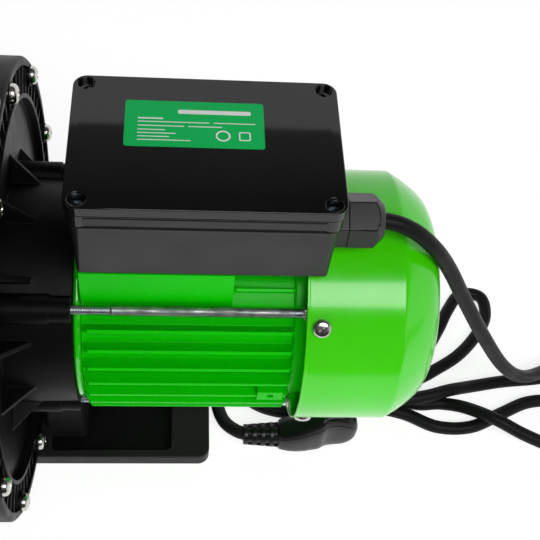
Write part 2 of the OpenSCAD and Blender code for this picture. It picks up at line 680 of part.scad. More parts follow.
module stator_frame() {
    pad_x0 = frame_x;
    pad_x1 = 58;
    lug_angle = -3.5;
    lug_x = 73.2;
    lug_l = 13.8;
    lug_w = 8.6;
    lug_r0 = frame_wall_r - 2;
    fin_angles = [for (k = [0 : 360 / fin_pitch - 1]) 5.5 + fin_pitch * k - 180];
    near_rod = function (a) min([for (r = rod_angles) abs(a - r)]) < 6;
    under_pad = function (a) a > 46 && a < 134;
    color([0.1, 0.8, 0.05]) difference() {
        union() {
            band(bore_r, frame_wall_r, frame_x, frame_end_x);
            for (a = fin_angles) if (!near_rod(a) && !under_pad(a)) cooling_fin(a, frame_x + 1, frame_end_x);
            for (a = fin_angles) if (!near_rod(a) && under_pad(a)) cooling_fin(a, pad_x1 - 1, frame_end_x);
            difference() {
                translate([pad_x0, -40, shaft_h + 30]) cube([pad_x1 - pad_x0, 80, box_floor - 30]);
                band(0.01, bore_r, pad_x0 - 1, pad_x1 + 1);
                for (a = [45, 135]) bar(a, rod_circle_r, pad_x0 - 1, pad_x1 + 1, 3.2);
            }
            polar(lug_angle) translate([lug_x, lug_r0, -lug_w / 2]) cube([lug_l, fin_r + 0.6 - lug_r0, lug_w]);
        }
        polar(lug_angle) translate([lug_x + lug_l / 2, frame_wall_r + 1, 0]) rotate([-90, 0, 0])
            cylinder(h = 10, r = 1.7, $fn = 24);
        translate([20, 0, shaft_h + bore_r - 2]) cylinder(h = 30, r = 9, $fn = 40);
    }
}

module slots(grow) {
    for (k = [0 : slot_count - 1]) polar(360 * k / slot_count)
        translate([core_x0 - 1, 33, -2 - grow]) cube([core_x1 - core_x0 + 2, 10.5 + grow, 4 + 2 * grow]);
}

module stator_core() {
    color([0.6, 0.61, 0.63]) difference() {
        band(31, bore_r - 0.02, core_x0, core_x1);
        slots(0);
        for (k = [0 : slot_count - 1]) polar(360 * k / slot_count)
            translate([core_x0 - 1, 30, -1]) cube([core_x1 - core_x0 + 2, 4, 2]);
    }
}

module stator_windings() {
    color([0.72, 0.35, 0.15]) {
        lathe([[34, -8], [37, -11], [44, -11], [47, -8], [47, core_x0 - 0.5], [34, core_x0 - 0.5]]);
        lathe([[34, core_x1 + 0.5], [47, core_x1 + 0.5], [47, 77], [44, 80], [37, 80], [34, 77]]);
        for (k = [0 : slot_count - 1]) polar(360 * k / slot_count)
            translate([core_x0 - 0.6, 34.5, -1.8]) cube([core_x1 - core_x0 + 1.2, 8.8, 3.6]);
    }
}

module tie_rods() {
    color([0.82, 0.83, 0.85]) for (a = rod_angles) {
        bar(a, rod_circle_r, -40, -2.5, 2.3);
        bar(a, rod_circle_r, -2.6, 99.4, 2.5);
    }
}

module tie_rod_nuts() {
    color([0.8, 0.8, 0.8]) for (a = rod_angles) difference() {
        hex_bar(a, rod_circle_r, 94.01, 98, 8);
        bar(a, rod_circle_r, 93, 99.6, 2.5 + fit);
    }
}

module cooling_fan() {
    blades = 7;
    color([0.12, 0.12, 0.13]) difference() {
        union() {
            lathe([[6.5 + fit, 114], [12, 114], [12, 118], [56, 121], [56, 123], [12, 120.5], [12, 142], [6.5 + fit, 142]]);
            for (k = [0 : blades - 1]) polar(360 * k / blades) translate([120, 11, -1]) cube([20, 47, 2]);
        }
        lathe([[40, 141], [59, 134], [59, 141]]);
    }
}

module fan_clip() {
    color([0.6, 0.6, 0.62]) band(6 + fit, 9.5, 142.06, 143.14);
}

// Outline of the fan cover from its front rim to the middle of its grille
function cover_outline(t) = [[cover_r - t, cover_x], [cover_r - t, cover_bend_x - 0.3 * t],
    [cover_r - 0.9 - 0.9 * t, 147.3 - 0.5 * t], [cover_r - 5.1 - 0.8 * t, 153.8 - 0.6 * t],
    [cover_r - 9.6 - 0.7 * t, 159.8 - 0.7 * t], [cover_r - 13.9 - 0.6 * t, 164 - 0.8 * t],
    [cover_r - 18.4 - 0.5 * t, 166.7 - 0.9 * t], [cover_r - 23 - 0.3 * t, 168.5 - t], [0, 169.2 - t]];

module fan_cover() {
    inside = cover_outline(sheet_t);
    color([0.05, 0.75, 0.1]) difference() {
        union() {
            lathe(concat(cover_outline(0), [for (i = [len(inside) - 1 : -1 : 0]) inside[i]]));
            lathe([[cover_r - sheet_t, cover_x], [cover_r, cover_x], [cover_r + 0.4, cover_x + 0.6], [cover_r, cover_x + 1.6],
                [cover_r - sheet_t, cover_x + 1.6]]);
        }
        for (a = cover_screw_angles) polar(a) translate([cover_screw_x, cover_r - 4, 0]) rotate([-90, 0, 0])
            cylinder(h = 8, r = 2.3, $fn = 32);
        for (r = [9 : 6.5 : 41.5]) difference() {
            band(r, r + 4, 160, 172);
            for (k = [0 : 5]) polar(60 * k + 30) translate([155, 0, -2.4]) cube([20, 60, 4.8]);
        }
    }
}

module fan_cover_screws() {
    color([0.85, 0.85, 0.84]) for (a = cover_screw_angles) polar(a) translate([cover_screw_x, 0, 0]) {
        translate([0, 59, 0]) rotate([-90, 0, 0]) cylinder(h = cover_r - 58, r = 2, $fn = 32);
        translate([0, cover_r + 0.02, 0]) rotate([-90, 0, 0]) pan_head(4.6, 3.2);
    }
}

// ---- Terminal box ----

module at_box(h) {
    translate([box_x, box_y, shaft_h + h]) children();
}

module lid_posts(r, h) {
    for (sx = [-1, 1], sy = [-1, 1]) translate([sx * well_dx, sy * well_dy, 0]) cylinder(h = h, r = r, $fn = 40);
}

module box_shell(inset, z0, z1) {
    hull() {
        translate([0, 0, z0]) rounded_plate(lid_l - 9 - 2 * inset, lid_w - 4.4 - 2 * inset, 0.1, 3.1);
        translate([0, 0, z1]) rounded_plate(lid_l - 4 - 2 * inset, lid_w - 3.4 - 2 * inset, 0.1, 6);
    }
}

module terminal_box() {
    depth = box_rim - box_floor;
    rim_t = 5;
    color([0.16, 0.16, 0.17]) difference() {
        union() {
            at_box(box_floor + 0.02) difference() {
                union() {
                    box_shell(0, 0, depth - rim_t);
                    translate([0, 0, depth - rim_t]) rounded_plate(lid_l - 1.4, lid_w - 1.4, rim_t - 0.02, 6.5);
                }
                translate([0, 0, 3]) box_shell(3, 0, depth);
            }
            at_box(box_floor + 3) intersection() {
                lid_posts(5.4, depth - 10);
                box_shell(0, -1, depth - rim_t);
            }
            translate([gland_x - 8, gland_y - 14, shaft_h + gland_h - 14]) cube([8, 28, 28]);
        }
        translate([gland_x - 12, gland_y, shaft_h + gland_h]) rotate([0, 90, 0]) cylinder(h = 20, r = 10, $fn = 48);
        translate([20, 0, shaft_h + box_floor - 1]) cylinder(h = 6, r = 9, $fn = 40);
        at_box(box_floor + 8) lid_posts(2 + fit, depth);
        at_box(box_rim - 7) lid_posts(5.7, 8);
        band(50, cover_r + 0.6, cover_x - 1, gland_x);
    }
}

module box_gasket() {
    color([0.1, 0.1, 0.1]) at_box(box_rim) difference() {
        rounded_plate(lid_l - 4, lid_w - 4, lid_rim - box_rim - 0.02, 6);
        translate([0, 0, -1]) rounded_plate(lid_l - 12, lid_w - 12, 4, 4);
        translate([0, 0, -1]) lid_posts(5.7, 4);
    }
}

module box_lid() {
    rim = lid_top - lid_rim;
    color([0.08, 0.08, 0.09]) at_box(lid_rim) difference() {
        union() {
            rounded_plate(lid_l, lid_w, rim - 1, 7);
            translate([0, 0, rim - 1.01]) rounded_plate(lid_l - 1.2, lid_w - 1.2, 1.01, 6.4);
            translate([0, 0, -7]) lid_posts(5.5, 8);
        }
        difference() {
            translate([0, 0, -1]) rounded_plate(lid_l - 8, lid_w - 8, rim - 2, 4);
            translate([0, 0, -2]) lid_posts(5.8, rim + 2);
        }
        translate([0, 0, -5]) lid_posts(4.4, rim + 6);
        translate([0, 0, -8]) lid_posts(2.2, 5);
    }
}

module box_screws() {
    color([0.78, 0.82, 0.88]) at_box(lid_rim) for (sx = [-1, 1], sy = [-1, 1])
        translate([sx * well_dx, sy * well_dy, 0]) {
            translate([0, 0, -24]) cylinder(h = 20, r = 2, $fn = 32);
            translate([0, 0, -4.98]) pan_head(3.9, 2.8);
        }
}

module rating_label() {
    color([0.1, 0.7, 0.45]) translate([36.8, 12.4, shaft_h + lid_top + 0.01]) rounded_plate(66.5, 30, 0.3, 3);
}

module run_capacitor() {
    color([0.85, 0.85, 0.82]) translate([8, 17, shaft_h + 92]) rotate([0, 90, 0]) {
        cylinder(h = 62, r = 16.5);
        translate([0, 0, 61]) cylinder(h = 4, r = 13);
        for (s = [-1, 1]) translate([-1, 6 * s - 2.4, 64]) cube([2, 4.8, 9]);
    }
}

module capacitor_clamp() {
    color([0.7, 0.7, 0.7]) difference() {
        union() {
            translate([34, 17, shaft_h + 92]) rotate([0, 90, 0]) cylinder(h = 10, r = 17.8);
            translate([34, 4, shaft_h + box_floor + 3.1]) cube([10, 26, 6]);
        }
        translate([33, 17, shaft_h + 92]) rotate([0, 90, 0]) cylinder(h = 12, r = 16.5 + fit);
    }
}

module terminal_block() {
    color([0.9, 0.9, 0.86]) translate([48, -30, shaft_h + box_floor + 3.1]) difference() {
        cube([34, 15, 13]);
        for (k = [0 : 2]) translate([6 + 11 * k, 7.5, 5]) cylinder(h = 10, r = 2.6, $fn = 32);
        for (k = [0 : 2]) translate([6 + 11 * k, -1, 6]) rotate([-90, 0, 0]) cylinder(h = 20, r = 2, $fn = 24);
    }
}

module at_gland(x) {
    translate([x, gland_y, shaft_h + gland_h]) rotate([0, 90, 0]) children();
}

module gland_body() {
    color([0.07, 0.07, 0.08]) difference() {
        union() {
            at_gland(gland_x - 9) cylinder(h = 10, r = 10 - fit, $fn = 48);
            at_gland(gland_x + 0.02) cylinder(h = 6, d = 24 / cos(30), $fn = 6);
            at_gland(gland_x + 5) cylinder(h = 9, r = 9.6, $fn = 48);
        }
        at_gland(gland_x - 10) cylinder(h = 16, r = cord_r + 0.6, $fn = 40);
        at_gland(gland_x + 5) cylinder(h = 10, r = 7.6, $fn = 40);
    }
}

module gland_nut() {
    color([0.07, 0.07, 0.08]) difference() {
        intersection() {
            at_gland(gland_x + 6.1) cylinder(h = gland_end_x - gland_x - 6.1, d = 24 / cos(30), $fn = 6);
            translate([0, gland_y, shaft_h + gland_h]) rotate([0, 90, 0]) rotate_extrude()
                polygon([[0, 100], [14, 100], [14, 124.6], [9, gland_end_x], [0, gland_end_x]]);
        }
        at_gland(gland_x + 5) cylinder(h = 9.6, r = 9.6 + fit, $fn = 48);
        at_gland(gland_x + 5) cylinder(h = 30, r = cord_r + 0.5, $fn = 40);
        at_gland(gland_x + 10) cylinder(h = 14, r = 7.6, $fn = 40);
    }
}

module gland_seal() {
    color([0.15, 0.15, 0.15]) difference() {
        at_gland(gland_x + 6.2) cylinder(h = 16, r = 7.5, $fn = 40);
        at_gland(gland_x + 5) cylinder(h = 20, r = cord_r + 0.12, $fn = 40);
    }
}

// ---- Cord and plug ----

module power_cord() {
    color([0.06, 0.06, 0.06]) tube_along(route, cord_r, 8);
}

module plug_body() {
    slots = 5;
    color([0.07, 0.07, 0.08]) difference() {
        union() {
            translate([plug_x, plug_y + plug_t, plug_face_r]) rotate([90, 0, 0]) cylinder(h = plug_t, r = plug_face_r);
            hull() {
                translate([plug_x - 12, plug_y + 3, 2]) cube([6, plug_t - 6, 30]);
                translate([92, cord_y - 9, 2]) cube([4, 18, 20]);
            }
            translate([relief_x, cord_y, relief_z]) rotate([0, 90, 0]) cylinder(h = 24, r = 7, $fn = 40);
        }
        for (k = [0 : slots - 1]) translate([relief_x + 3 + 4 * k, cord_y - 9, relief_z - 9]) difference() {
            cube([1.8, 18, 18]);
            translate([-1, 9, 9]) rotate([0, 90, 0]) cylinder(h = 4, r = 5.4, $fn = 32);
        }
        translate([relief_x - 1, cord_y, relief_z]) rotate([0, 90, 0]) cylinder(h = 18, r = cord_r + 0.1, $fn = 40);
        for (s = [-1, 1]) translate([plug_x + 9.5 * s, plug_y + plug_t + 1, plug_face_r]) rotate([90, 0, 0])
            cylinder(h = 13, r = pin_neck_r + fit, $fn = 32);
        for (s = [-1, 1]) translate([plug_x - 3, plug_y + plug_t - 8, plug_face_r + s * 17 - 3]) cube([6, 9, 6]);
    }
}

module plug_pins() {
    color([0.8, 0.8, 0.8]) for (s = [-1, 1]) translate([plug_x + 9.5 * s, plug_y + plug_t + 19, plug_face_r])
        rotate([90, 0, 0]) union() {
            cylinder(h = 30, r = pin_neck_r, $fn = 32);
            translate([0, 0, 1]) cylinder(h = 17.5, r = 2.36, $fn = 32);
        }
}

base_foot();
base_screws();
motor_bracket();
casing_screws();
casing_nuts();
casing_seal();
pump_casing();
diffuser();
impeller();
impeller_nut();
seal_seat();
seal_head();
seal_spring();
slinger();
strainer_pot();
pot_gasket();
pot_bolts();
strainer_basket();
strainer_lid();
lid_seal();
lock_ring();
drain_plugs();
suction_nut();
discharge_nut();
union_tails();
union_seals();
shaft();
rotor_core();
front_bearing_outer();
front_bearing_inner();
front_bearing_balls();
rear_bearing_outer();
rear_bearing_inner();
rear_bearing_balls();
wave_washer();
front_end_shield();
rear_end_shield();
stator_frame();
stator_core();
stator_windings();
tie_rods();
tie_rod_nuts();
cooling_fan();
fan_clip();
fan_cover();
fan_cover_screws();
terminal_box();
box_gasket();
box_lid();
box_screws();
rating_label();
run_capacitor();
capacitor_clamp();
terminal_block();
gland_body();
gland_nut();
gland_seal();
power_cord();
plug_body();
plug_pins();
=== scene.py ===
"""Visual model of a self-priming centrifugal water pump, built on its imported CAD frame.

The scene is in metres. Meshes are drawn in millimetres and scaled when they become pieces.
"""
import bmesh
import bpy
import json
import math
from mathutils import Matrix, Vector


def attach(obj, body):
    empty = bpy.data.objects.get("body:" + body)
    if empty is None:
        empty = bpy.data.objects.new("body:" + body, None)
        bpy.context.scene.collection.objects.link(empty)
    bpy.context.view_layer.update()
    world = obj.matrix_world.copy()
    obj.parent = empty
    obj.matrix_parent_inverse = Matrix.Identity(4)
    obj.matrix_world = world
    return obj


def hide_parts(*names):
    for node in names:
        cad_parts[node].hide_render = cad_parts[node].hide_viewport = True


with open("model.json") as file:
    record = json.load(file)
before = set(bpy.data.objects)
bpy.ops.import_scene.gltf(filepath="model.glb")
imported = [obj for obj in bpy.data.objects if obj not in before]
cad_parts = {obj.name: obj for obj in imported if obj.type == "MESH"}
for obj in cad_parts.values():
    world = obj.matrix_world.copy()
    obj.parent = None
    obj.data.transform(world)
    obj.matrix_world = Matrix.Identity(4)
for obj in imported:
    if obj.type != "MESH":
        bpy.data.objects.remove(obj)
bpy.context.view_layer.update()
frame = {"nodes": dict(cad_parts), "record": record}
MM = 0.001

# ---------------------------------------------------------------- shared dimensions, in millimetres
SHAFT_H = 130.0
COVER_R = 70.0
COVER_SCREW_X = 102.7
COVER_SCREW_ANGLES = (40, 140, -40, -140)
ROD_ANGLES = (45, 135, -45, -135)
ROD_CIRCLE_R = 62.5
FLANGE_SCREWS = 10
FLANGE_SCREW_R = 118
FLANGE_SEAT_X = -52.58
FOOT_POST_X = -38
CORD_R = 4.25
PLUG_CORD_Y = -28
PLUG_CORD_Z = 12

LID_X = 42.5
LID_Y = 1.5
LID_L = 129.6
LID_W = 85.0
WELL_FLOOR = 242.6
WELLS = [(LID_X + sx * 58.3, LID_Y + sy * 36.8) for sx in (-1, 1) for sy in (-1, 1)]

# the cord's middle: heights on the floor and over another strand, then the route
FLOOR_Z = 4.5
OVER_Z = 13.6
ROUTE = [
    # from the gland down to the floor
    (104, -18, 217.5), (131, -18, 217.5), (146, -19, 212), (160, -19, 198), (173, -17, 177),
    (190, -15.5, 144), (210, -14.5, 107), (231, -10.5, 71), (252, -1, 42), (273, 13, 23), (300, 32, 11),
    # outer loop past the fan end
    (331, 47, FLOOR_Z), (362, 46, FLOOR_Z), (387, 28, FLOOR_Z), (394, -2, FLOOR_Z), (378, -31, FLOOR_Z),
    (347, -43, FLOOR_Z), (312, -40, FLOOR_Z), (282, -33, FLOOR_Z),
    # back towards the motor, over the strand that leaves it
    (260, -26, 9), (240, -17, 14), (223, -6, 9), (208, -0.5, FLOOR_Z), (192, -1, FLOOR_Z),
    (176, 4, FLOOR_Z),
    # lower turn of the coil under the motor
    (162, 17, FLOOR_Z), (148, 38, FLOOR_Z), (128, 55, FLOOR_Z), (103, 61, FLOOR_Z), (80, 50, FLOOR_Z),
    (70, 28, FLOOR_Z), (77, 4, FLOOR_Z), (98, -7, FLOOR_Z), (127, -6, FLOOR_Z), (155, -3, FLOOR_Z),
    # away from the motor
    (181, -8, FLOOR_Z), (203, -18, FLOOR_Z), (226, -18, FLOOR_Z), (248, -8, FLOOR_Z), (269, 1, FLOOR_Z),
    (290, 1, FLOOR_Z), (311, -10, FLOOR_Z),
    # inner loop past the fan end
    (333, -25, FLOOR_Z), (359, -28, FLOOR_Z), (379, -13, FLOOR_Z), (383, 12, FLOOR_Z),
    (368, 32, FLOOR_Z), (343, 36, FLOOR_Z), (312, 27, FLOOR_Z), (281, 20, FLOOR_Z),
    # back again, over the strands of the lower turn
    (254, 17, FLOOR_Z), (232, 12, 6.5), (213, 5, 12.8), (197, 0, OVER_Z), (177, -3, OVER_Z),
    (160, 0, OVER_Z), (145, 6, 10),
    # inner turn of the coil
    (129, 9, FLOOR_Z), (109, 8.5, FLOOR_Z), (92, 14, FLOOR_Z), (85, 29, FLOOR_Z), (92, 43, FLOOR_Z),
    (108, 48.5, FLOOR_Z), (124, 45, FLOOR_Z), (137, 35, 6.5), (149, 26, 12), (162, 20, OVER_Z), (177, 17, 10),
    (193, 18, FLOOR_Z),
    # folded strand beside the fan cover
    (210, 27, FLOOR_Z), (226, 38, FLOOR_Z), (240, 53, FLOOR_Z), (250, 70, FLOOR_Z), (249.5, 87, FLOOR_Z),
    (235, 89.5, FLOOR_Z), (224, 76, FLOOR_Z), (214, 58, FLOOR_Z), (202, 41, FLOOR_Z), (183, 31, FLOOR_Z),
    # round the coil and to the plug
    (167, 41, FLOOR_Z), (153, 61, FLOOR_Z), (132, 77, FLOOR_Z), (104, 82, FLOOR_Z), (77, 71, FLOOR_Z),
    (61, 48, FLOOR_Z), (57.5, 20, FLOOR_Z), (58, -1, 5), (62, -16, 8), (70, -25, 11), (79, -28, 12),
    (89, -28, 12)]


# ---------------------------------------------------------------- camera, floor and light
def make_camera():
    cam = bpy.data.objects.new("camera", bpy.data.cameras.new("camera"))
    bpy.context.scene.collection.objects.link(cam)
    cam.data.lens = 70.077
    cam.data.sensor_width = 36.0
    cam.data.clip_start = 0.01
    cam.location = (0.028, -0.341725, 0.612552)
    turn = Matrix.Rotation(math.radians(-8.77), 3, "Z")
    tilt = Matrix.Rotation(math.radians(90 - 53.17), 3, "X")
    roll = Matrix.Rotation(math.radians(8.08), 3, "Z")
    cam.rotation_euler = (turn @ tilt @ roll).to_euler()
    bpy.context.scene.camera = cam


def empty_tree(owner):
    """The nodes and links of a material or world, with nothing in them."""
    owner.use_nodes = True
    owner.node_tree.nodes.clear()
    return owner.node_tree.nodes, owner.node_tree.links


def glow(name, strength):
    mat = bpy.data.materials.new(name)
    nodes, links = empty_tree(mat)
    out = nodes.new("ShaderNodeOutputMaterial")
    emit = nodes.new("ShaderNodeEmission")
    emit.inputs["Strength"].default_value = strength
    links.new(emit.outputs[0], out.inputs["Surface"])
    return mat


def floor_material():
    mat = bpy.data.materials.new("floor_white")
    nodes, links = empty_tree(mat)
    out = nodes.new("ShaderNodeOutputMaterial")
    add = nodes.new("ShaderNodeAddShader")
    emit = nodes.new("ShaderNodeEmission")
    diffuse = nodes.new("ShaderNodeBsdfDiffuse")
    emit.inputs["Strength"].default_value = 0.78
    diffuse.inputs["Color"].default_value = (0.42, 0.42, 0.42, 1)
    links.new(emit.outputs[0], add.inputs[0])
    links.new(diffuse.outputs[0], add.inputs[1])
    links.new(add.outputs[0], out.inputs["Surface"])
    return mat


def stage_plane(name, corners, material):
    mesh = bpy.data.meshes.new(name)
    mesh.from_pydata(corners, [], [tuple(range(len(corners)))])
    mesh.materials.append(material)
    obj = bpy.data.objects.new(name, mesh)
    bpy.context.scene.collection.objects.link(obj)
    return obj


def black_flag(name, corners):
    """A dark card that only reflections see."""
    card = stage_plane(name, corners, glow(name, 0.02))
    card.visible_camera = False
    card.visible_diffuse = False
    card.visible_shadow = False
    card.visible_transmission = False


def soft_box(name, place, aim, width, height, power, roll=0.0, glossy=True):
    light = bpy.data.lights.new(name, "AREA")
    light.shape = "RECTANGLE"
    light.size = width
    light.size_y = height
    light.energy = power
    obj = bpy.data.objects.new(name, light)
    bpy.context.scene.collection.objects.link(obj)
    obj.location = place
    turn = (Vector(aim) - Vector(place)).to_track_quat("-Z", "Y").to_matrix()
    obj.rotation_euler = (turn @ Matrix.Rotation(math.radians(roll), 3, "Z")).to_euler()
    obj.visible_camera = False
    obj.visible_glossy = glossy


def math_node(nodes, links, operation, first, second):
    """Joins two values, each a number or another node's output."""
    node = nodes.new("ShaderNodeMath")
    node.operation = operation
    for socket, source in zip(node.inputs, (first, second)):
        if isinstance(source, float):
            socket.default_value = source
        else:
            links.new(source, socket)
    return node.outputs[0]


def map_range(nodes, links, value, from_range, to_range):
    node = nodes.new("ShaderNodeMapRange")
    node.inputs["From Min"].default_value, node.inputs["From Max"].default_value = from_range
    node.inputs["To Min"].default_value, node.inputs["To Max"].default_value = to_range
    links.new(value, node.inputs["Value"])
    return node.outputs["Result"]


def colour_ramp(nodes, links, fac, *stops):
    """A colour ramp with two or more stops, each a position and a colour."""
    node = nodes.new("ShaderNodeValToRGB")
    elements = node.color_ramp.elements
    for i, (position, colour) in enumerate(stops):
        element = elements[i] if i < 2 else elements.new(position)
        element.position = position
        element.color = colour
    links.new(fac, node.inputs["Fac"])
    return node.outputs["Color"]


def grey(level):
    return (level, level, level, 1)


def make_world():
    """Pale backdrop low down and a dim room above it; the backdrop is higher at +Y and lower at -X."""
    world = bpy.data.worlds.new("studio")
    bpy.context.scene.world = world
    nodes, links = empty_tree(world)
    out = nodes.new("ShaderNodeOutputWorld")
    back = nodes.new("ShaderNodeBackground")
    coord = nodes.new("ShaderNodeTexCoord")
    split = nodes.new("ShaderNodeSeparateXYZ")
    links.new(coord.outputs["Generated"], split.inputs[0])
    slope = math_node(nodes, links, "MULTIPLY", split.outputs["Y"], 1.0247)
    top = math_node(nodes, links, "MAXIMUM", slope, 0.30)
    side = map_range(nodes, links, split.outputs["X"], (-0.55, -0.15), (-0.25, 0.0))
    limit = math_node(nodes, links, "ADD", top, side)
    above = math_node(nodes, links, "SUBTRACT", split.outputs["Z"], limit)
    shifted = math_node(nodes, links, "ADD", above, 0.5)
    tone = colour_ramp(nodes, links, shifted, (0.5, grey(0.92)), (0.504, grey(0.22)), (0.60, grey(0.06)))
    links.new(tone, back.inputs["Color"])
    links.new(back.outputs[0], out.inputs["Surface"])


def make_stage():
    """Floor, two dark cards that give the gloss its dark parts, and three soft boxes."""
    floor_half = 15.0
    corners = [(x * floor_half, y * floor_half, 0) for x, y in ((-1, -1), (1, -1), (1, 1), (-1, 1))]
    stage_plane("floor", corners, floor_material())
    half, near, far, low, high = 2.5, -0.40, -2.6, 0.002, 1.05
    black_flag("flag_floor", [(-half, far, low), (half, far, low), (half, near, low), (-half, near, low)])
    black_flag("flag_front", [(-half, far, low), (half, far, low), (half, far, high), (-half, far, high)])
    soft_box("key_box", (0.45, -0.95, 1.42), (0.10, -0.03, 0.18), 1.15, 0.62, 15.5, roll=-14)
    soft_box("fill_box", (-1.5, 0.5, 1.5), (-0.15, 0.0, 0.15), 0.6, 0.6, 4.0)
    soft_box("low_fill", (-0.15, -1.3, 0.42), (0.0, 0.0, 0.03), 0.7, 0.3, 1.6, glossy=False)


make_camera()
make_world()
make_stage()
bpy.context.scene.view_settings.view_transform = "Standard"


# ---------------------------------------------------------------- materials
def shade(colour, factor):
    return tuple(min(1.0, c * factor) for c in colour) + (1.0,)


def new_surface(name, colour, roughness, metallic=0.0, specular=0.5):
    mat = bpy.data.materials.new(name)
    mat.use_nodes = True
    bsdf = mat.node_tree.nodes["Principled BSDF"]
    bsdf.inputs["Base Color"].default_value = (*colour, 1.0)
    bsdf.inputs["Roughness"].default_value = roughness
    bsdf.inputs["Metallic"].default_value = metallic
    bsdf.inputs["Specular IOR Level"].default_value = specular
    return mat, mat.node_tree.nodes, mat.node_tree.links, bsdf


def object_noise(nodes, links, scale, detail=3.0, stretch=(1, 1, 1)):
    coord = nodes.new("ShaderNodeTexCoord")
    mapping = nodes.new("ShaderNodeMapping")
    mapping.inputs["Scale"].default_value = stretch
    noise = nodes.new("ShaderNodeTexNoise")
    noise.inputs["Scale"].default_value = scale
    noise.inputs["Detail"].default_value = detail
    links.new(coord.outputs["Object"], mapping.inputs["Vector"])
    links.new(mapping.outputs["Vector"], noise.inputs["Vector"])
    return noise.outputs["Fac"]


def colour_between(nodes, links, fac, dark, light):
    return colour_ramp(nodes, links, fac, (0.3, dark), (0.7, light))


def value_between(nodes, links, fac, low, high):
    return map_range(nodes, links, fac, (0.3, 0.7), (low, high))


def bump(nodes, links, height, distance, strength=1.0, under=None):
    node = nodes.new("ShaderNodeBump")
    node.inputs["Strength"].default_value = strength
    node.inputs["Distance"].default_value = distance
    links.new(height, node.inputs["Height"])
    if under is not None:
        links.new(under, node.inputs["Normal"])
    return node.outputs["Normal"]


def convex_edge_tone(nodes, links, base, edge_colour, amount):
    """Mixes another tone in along convex edges, broken up by noise."""
    geometry = nodes.new("ShaderNodeNewGeometry")
    edge = colour_ramp(nodes, links, geometry.outputs["Pointiness"], (0.53, grey(0)), (0.66, grey(amount)))
    broken = math_node(nodes, links, "MULTIPLY", edge, object_noise(nodes, links, 180, 5))
    mix = nodes.new("ShaderNodeMix")
    mix.data_type = "RGBA"
    links.new(broken, mix.inputs["Factor"])
    links.new(base, mix.inputs["A"])
    mix.inputs["B"].default_value = edge_colour
    return mix.outputs["Result"]


def moulded(name, colour, roughness, grain_mm=0.35, grain_depth=0.02, tone=0.25, wear_and_highlight=0.25, specular=0.5,
            sink=0.25):
    """Injection moulded plastic: fine spark-eroded grain, slow tone change and slightly paler edges, partly
    wear and partly painted highlight.
    """
    mat, nodes, links, bsdf = new_surface(name, colour, roughness, specular=specular)
    slow = object_noise(nodes, links, 22, 4)
    base = colour_between(nodes, links, slow, shade(colour, 1 - tone), shade(colour, 1 + tone))
    # paler colour along convex edges: partly wear, partly a painted highlight on the edges
    edge_colour = tuple(min(1.0, c * 1.6 + 0.02) for c in colour) + (1.0,)
    links.new(convex_edge_tone(nodes, links, base, edge_colour, wear_and_highlight), bsdf.inputs["Base Color"])
    patch = object_noise(nodes, links, 65, 5)
    gloss = value_between(nodes, links, patch, roughness * 0.86, roughness * 1.16)
    links.new(gloss, bsdf.inputs["Roughness"])
    grain = object_noise(nodes, links, 1 / (grain_mm * MM), 2)
    wave = object_noise(nodes, links, 30, 2)
    fine = bump(nodes, links, grain, grain_depth * MM)
    links.new(bump(nodes, links, wave, sink * MM, 0.5, fine), bsdf.inputs["Normal"])
    return mat


def enamel(name, colour, roughness, peel_mm, peel_depth, coat=0.0, specular=0.45):
    """Sprayed enamel: orange peel, a little sag in the film, faint tone change."""
    mat, nodes, links, bsdf = new_surface(name, colour, roughness, specular=specular)
    slow = object_noise(nodes, links, 14, 3)
    base = colour_between(nodes, links, slow, shade(colour, 0.93), shade(colour, 1.05))
    deep = tuple(c * 0.55 for c in colour) + (1.0,)
    links.new(convex_edge_tone(nodes, links, base, deep, 0.15), bsdf.inputs["Base Color"])
    patch = object_noise(nodes, links, 90, 4)
    gloss = value_between(nodes, links, patch, roughness * 0.85, roughness * 1.2)
    links.new(gloss, bsdf.inputs["Roughness"])
    peel = object_noise(nodes, links, 1 / (peel_mm * MM), 2)
    slack = object_noise(nodes, links, 45, 2)
    fine = bump(nodes, links, peel, peel_depth * MM)
    normal = bump(nodes, links, slack, 0.2 * MM, 0.4, fine)
    links.new(normal, bsdf.inputs["Normal"])
    bsdf.inputs["Coat Weight"].default_value = coat
    bsdf.inputs["Coat Roughness"].default_value = 0.06
    links.new(normal, bsdf.inputs["Coat Normal"])
    return mat


def metal(name, colour, roughness, stretch=(1, 1, 1), scratch=900, depth=0.004, tint=0.12):
    """Bare or plated metal with fine drawn or turned marks and patchy plating."""
    mat, nodes, links, bsdf = new_surface(name, colour, roughness, metallic=1.0)
    patch = object_noise(nodes, links, 160, 5)
    links.new(colour_between(nodes, links, patch, shade(colour, 1 - tint), shade(colour, 1 + tint)),
              bsdf.inputs["Base Color"])
    marks = object_noise(nodes, links, scratch, 4, stretch)
    links.new(value_between(nodes, links, marks, roughness * 0.6, roughness * 1.5), bsdf.inputs["Roughness"])
    links.new(bump(nodes, links, marks, depth * MM), bsdf.inputs["Normal"])
    return mat


def clear_plastic(name):
    mat, nodes, links, bsdf = new_surface(name, (0.86, 0.92, 0.94), 0.06)
    bsdf.inputs["Transmission Weight"].default_value = 0.92
    bsdf.inputs["IOR"].default_value = 1.5
    haze = object_noise(nodes, links, 80, 5)
    links.new(value_between(nodes, links, haze, 0.03, 0.14), bsdf.inputs["Roughness"])
    links.new(colour_between(nodes, links, haze, (0.80, 0.88, 0.90, 1), (0.92, 0.96, 0.97, 1)),
              bsdf.inputs["Base Color"])
    return mat


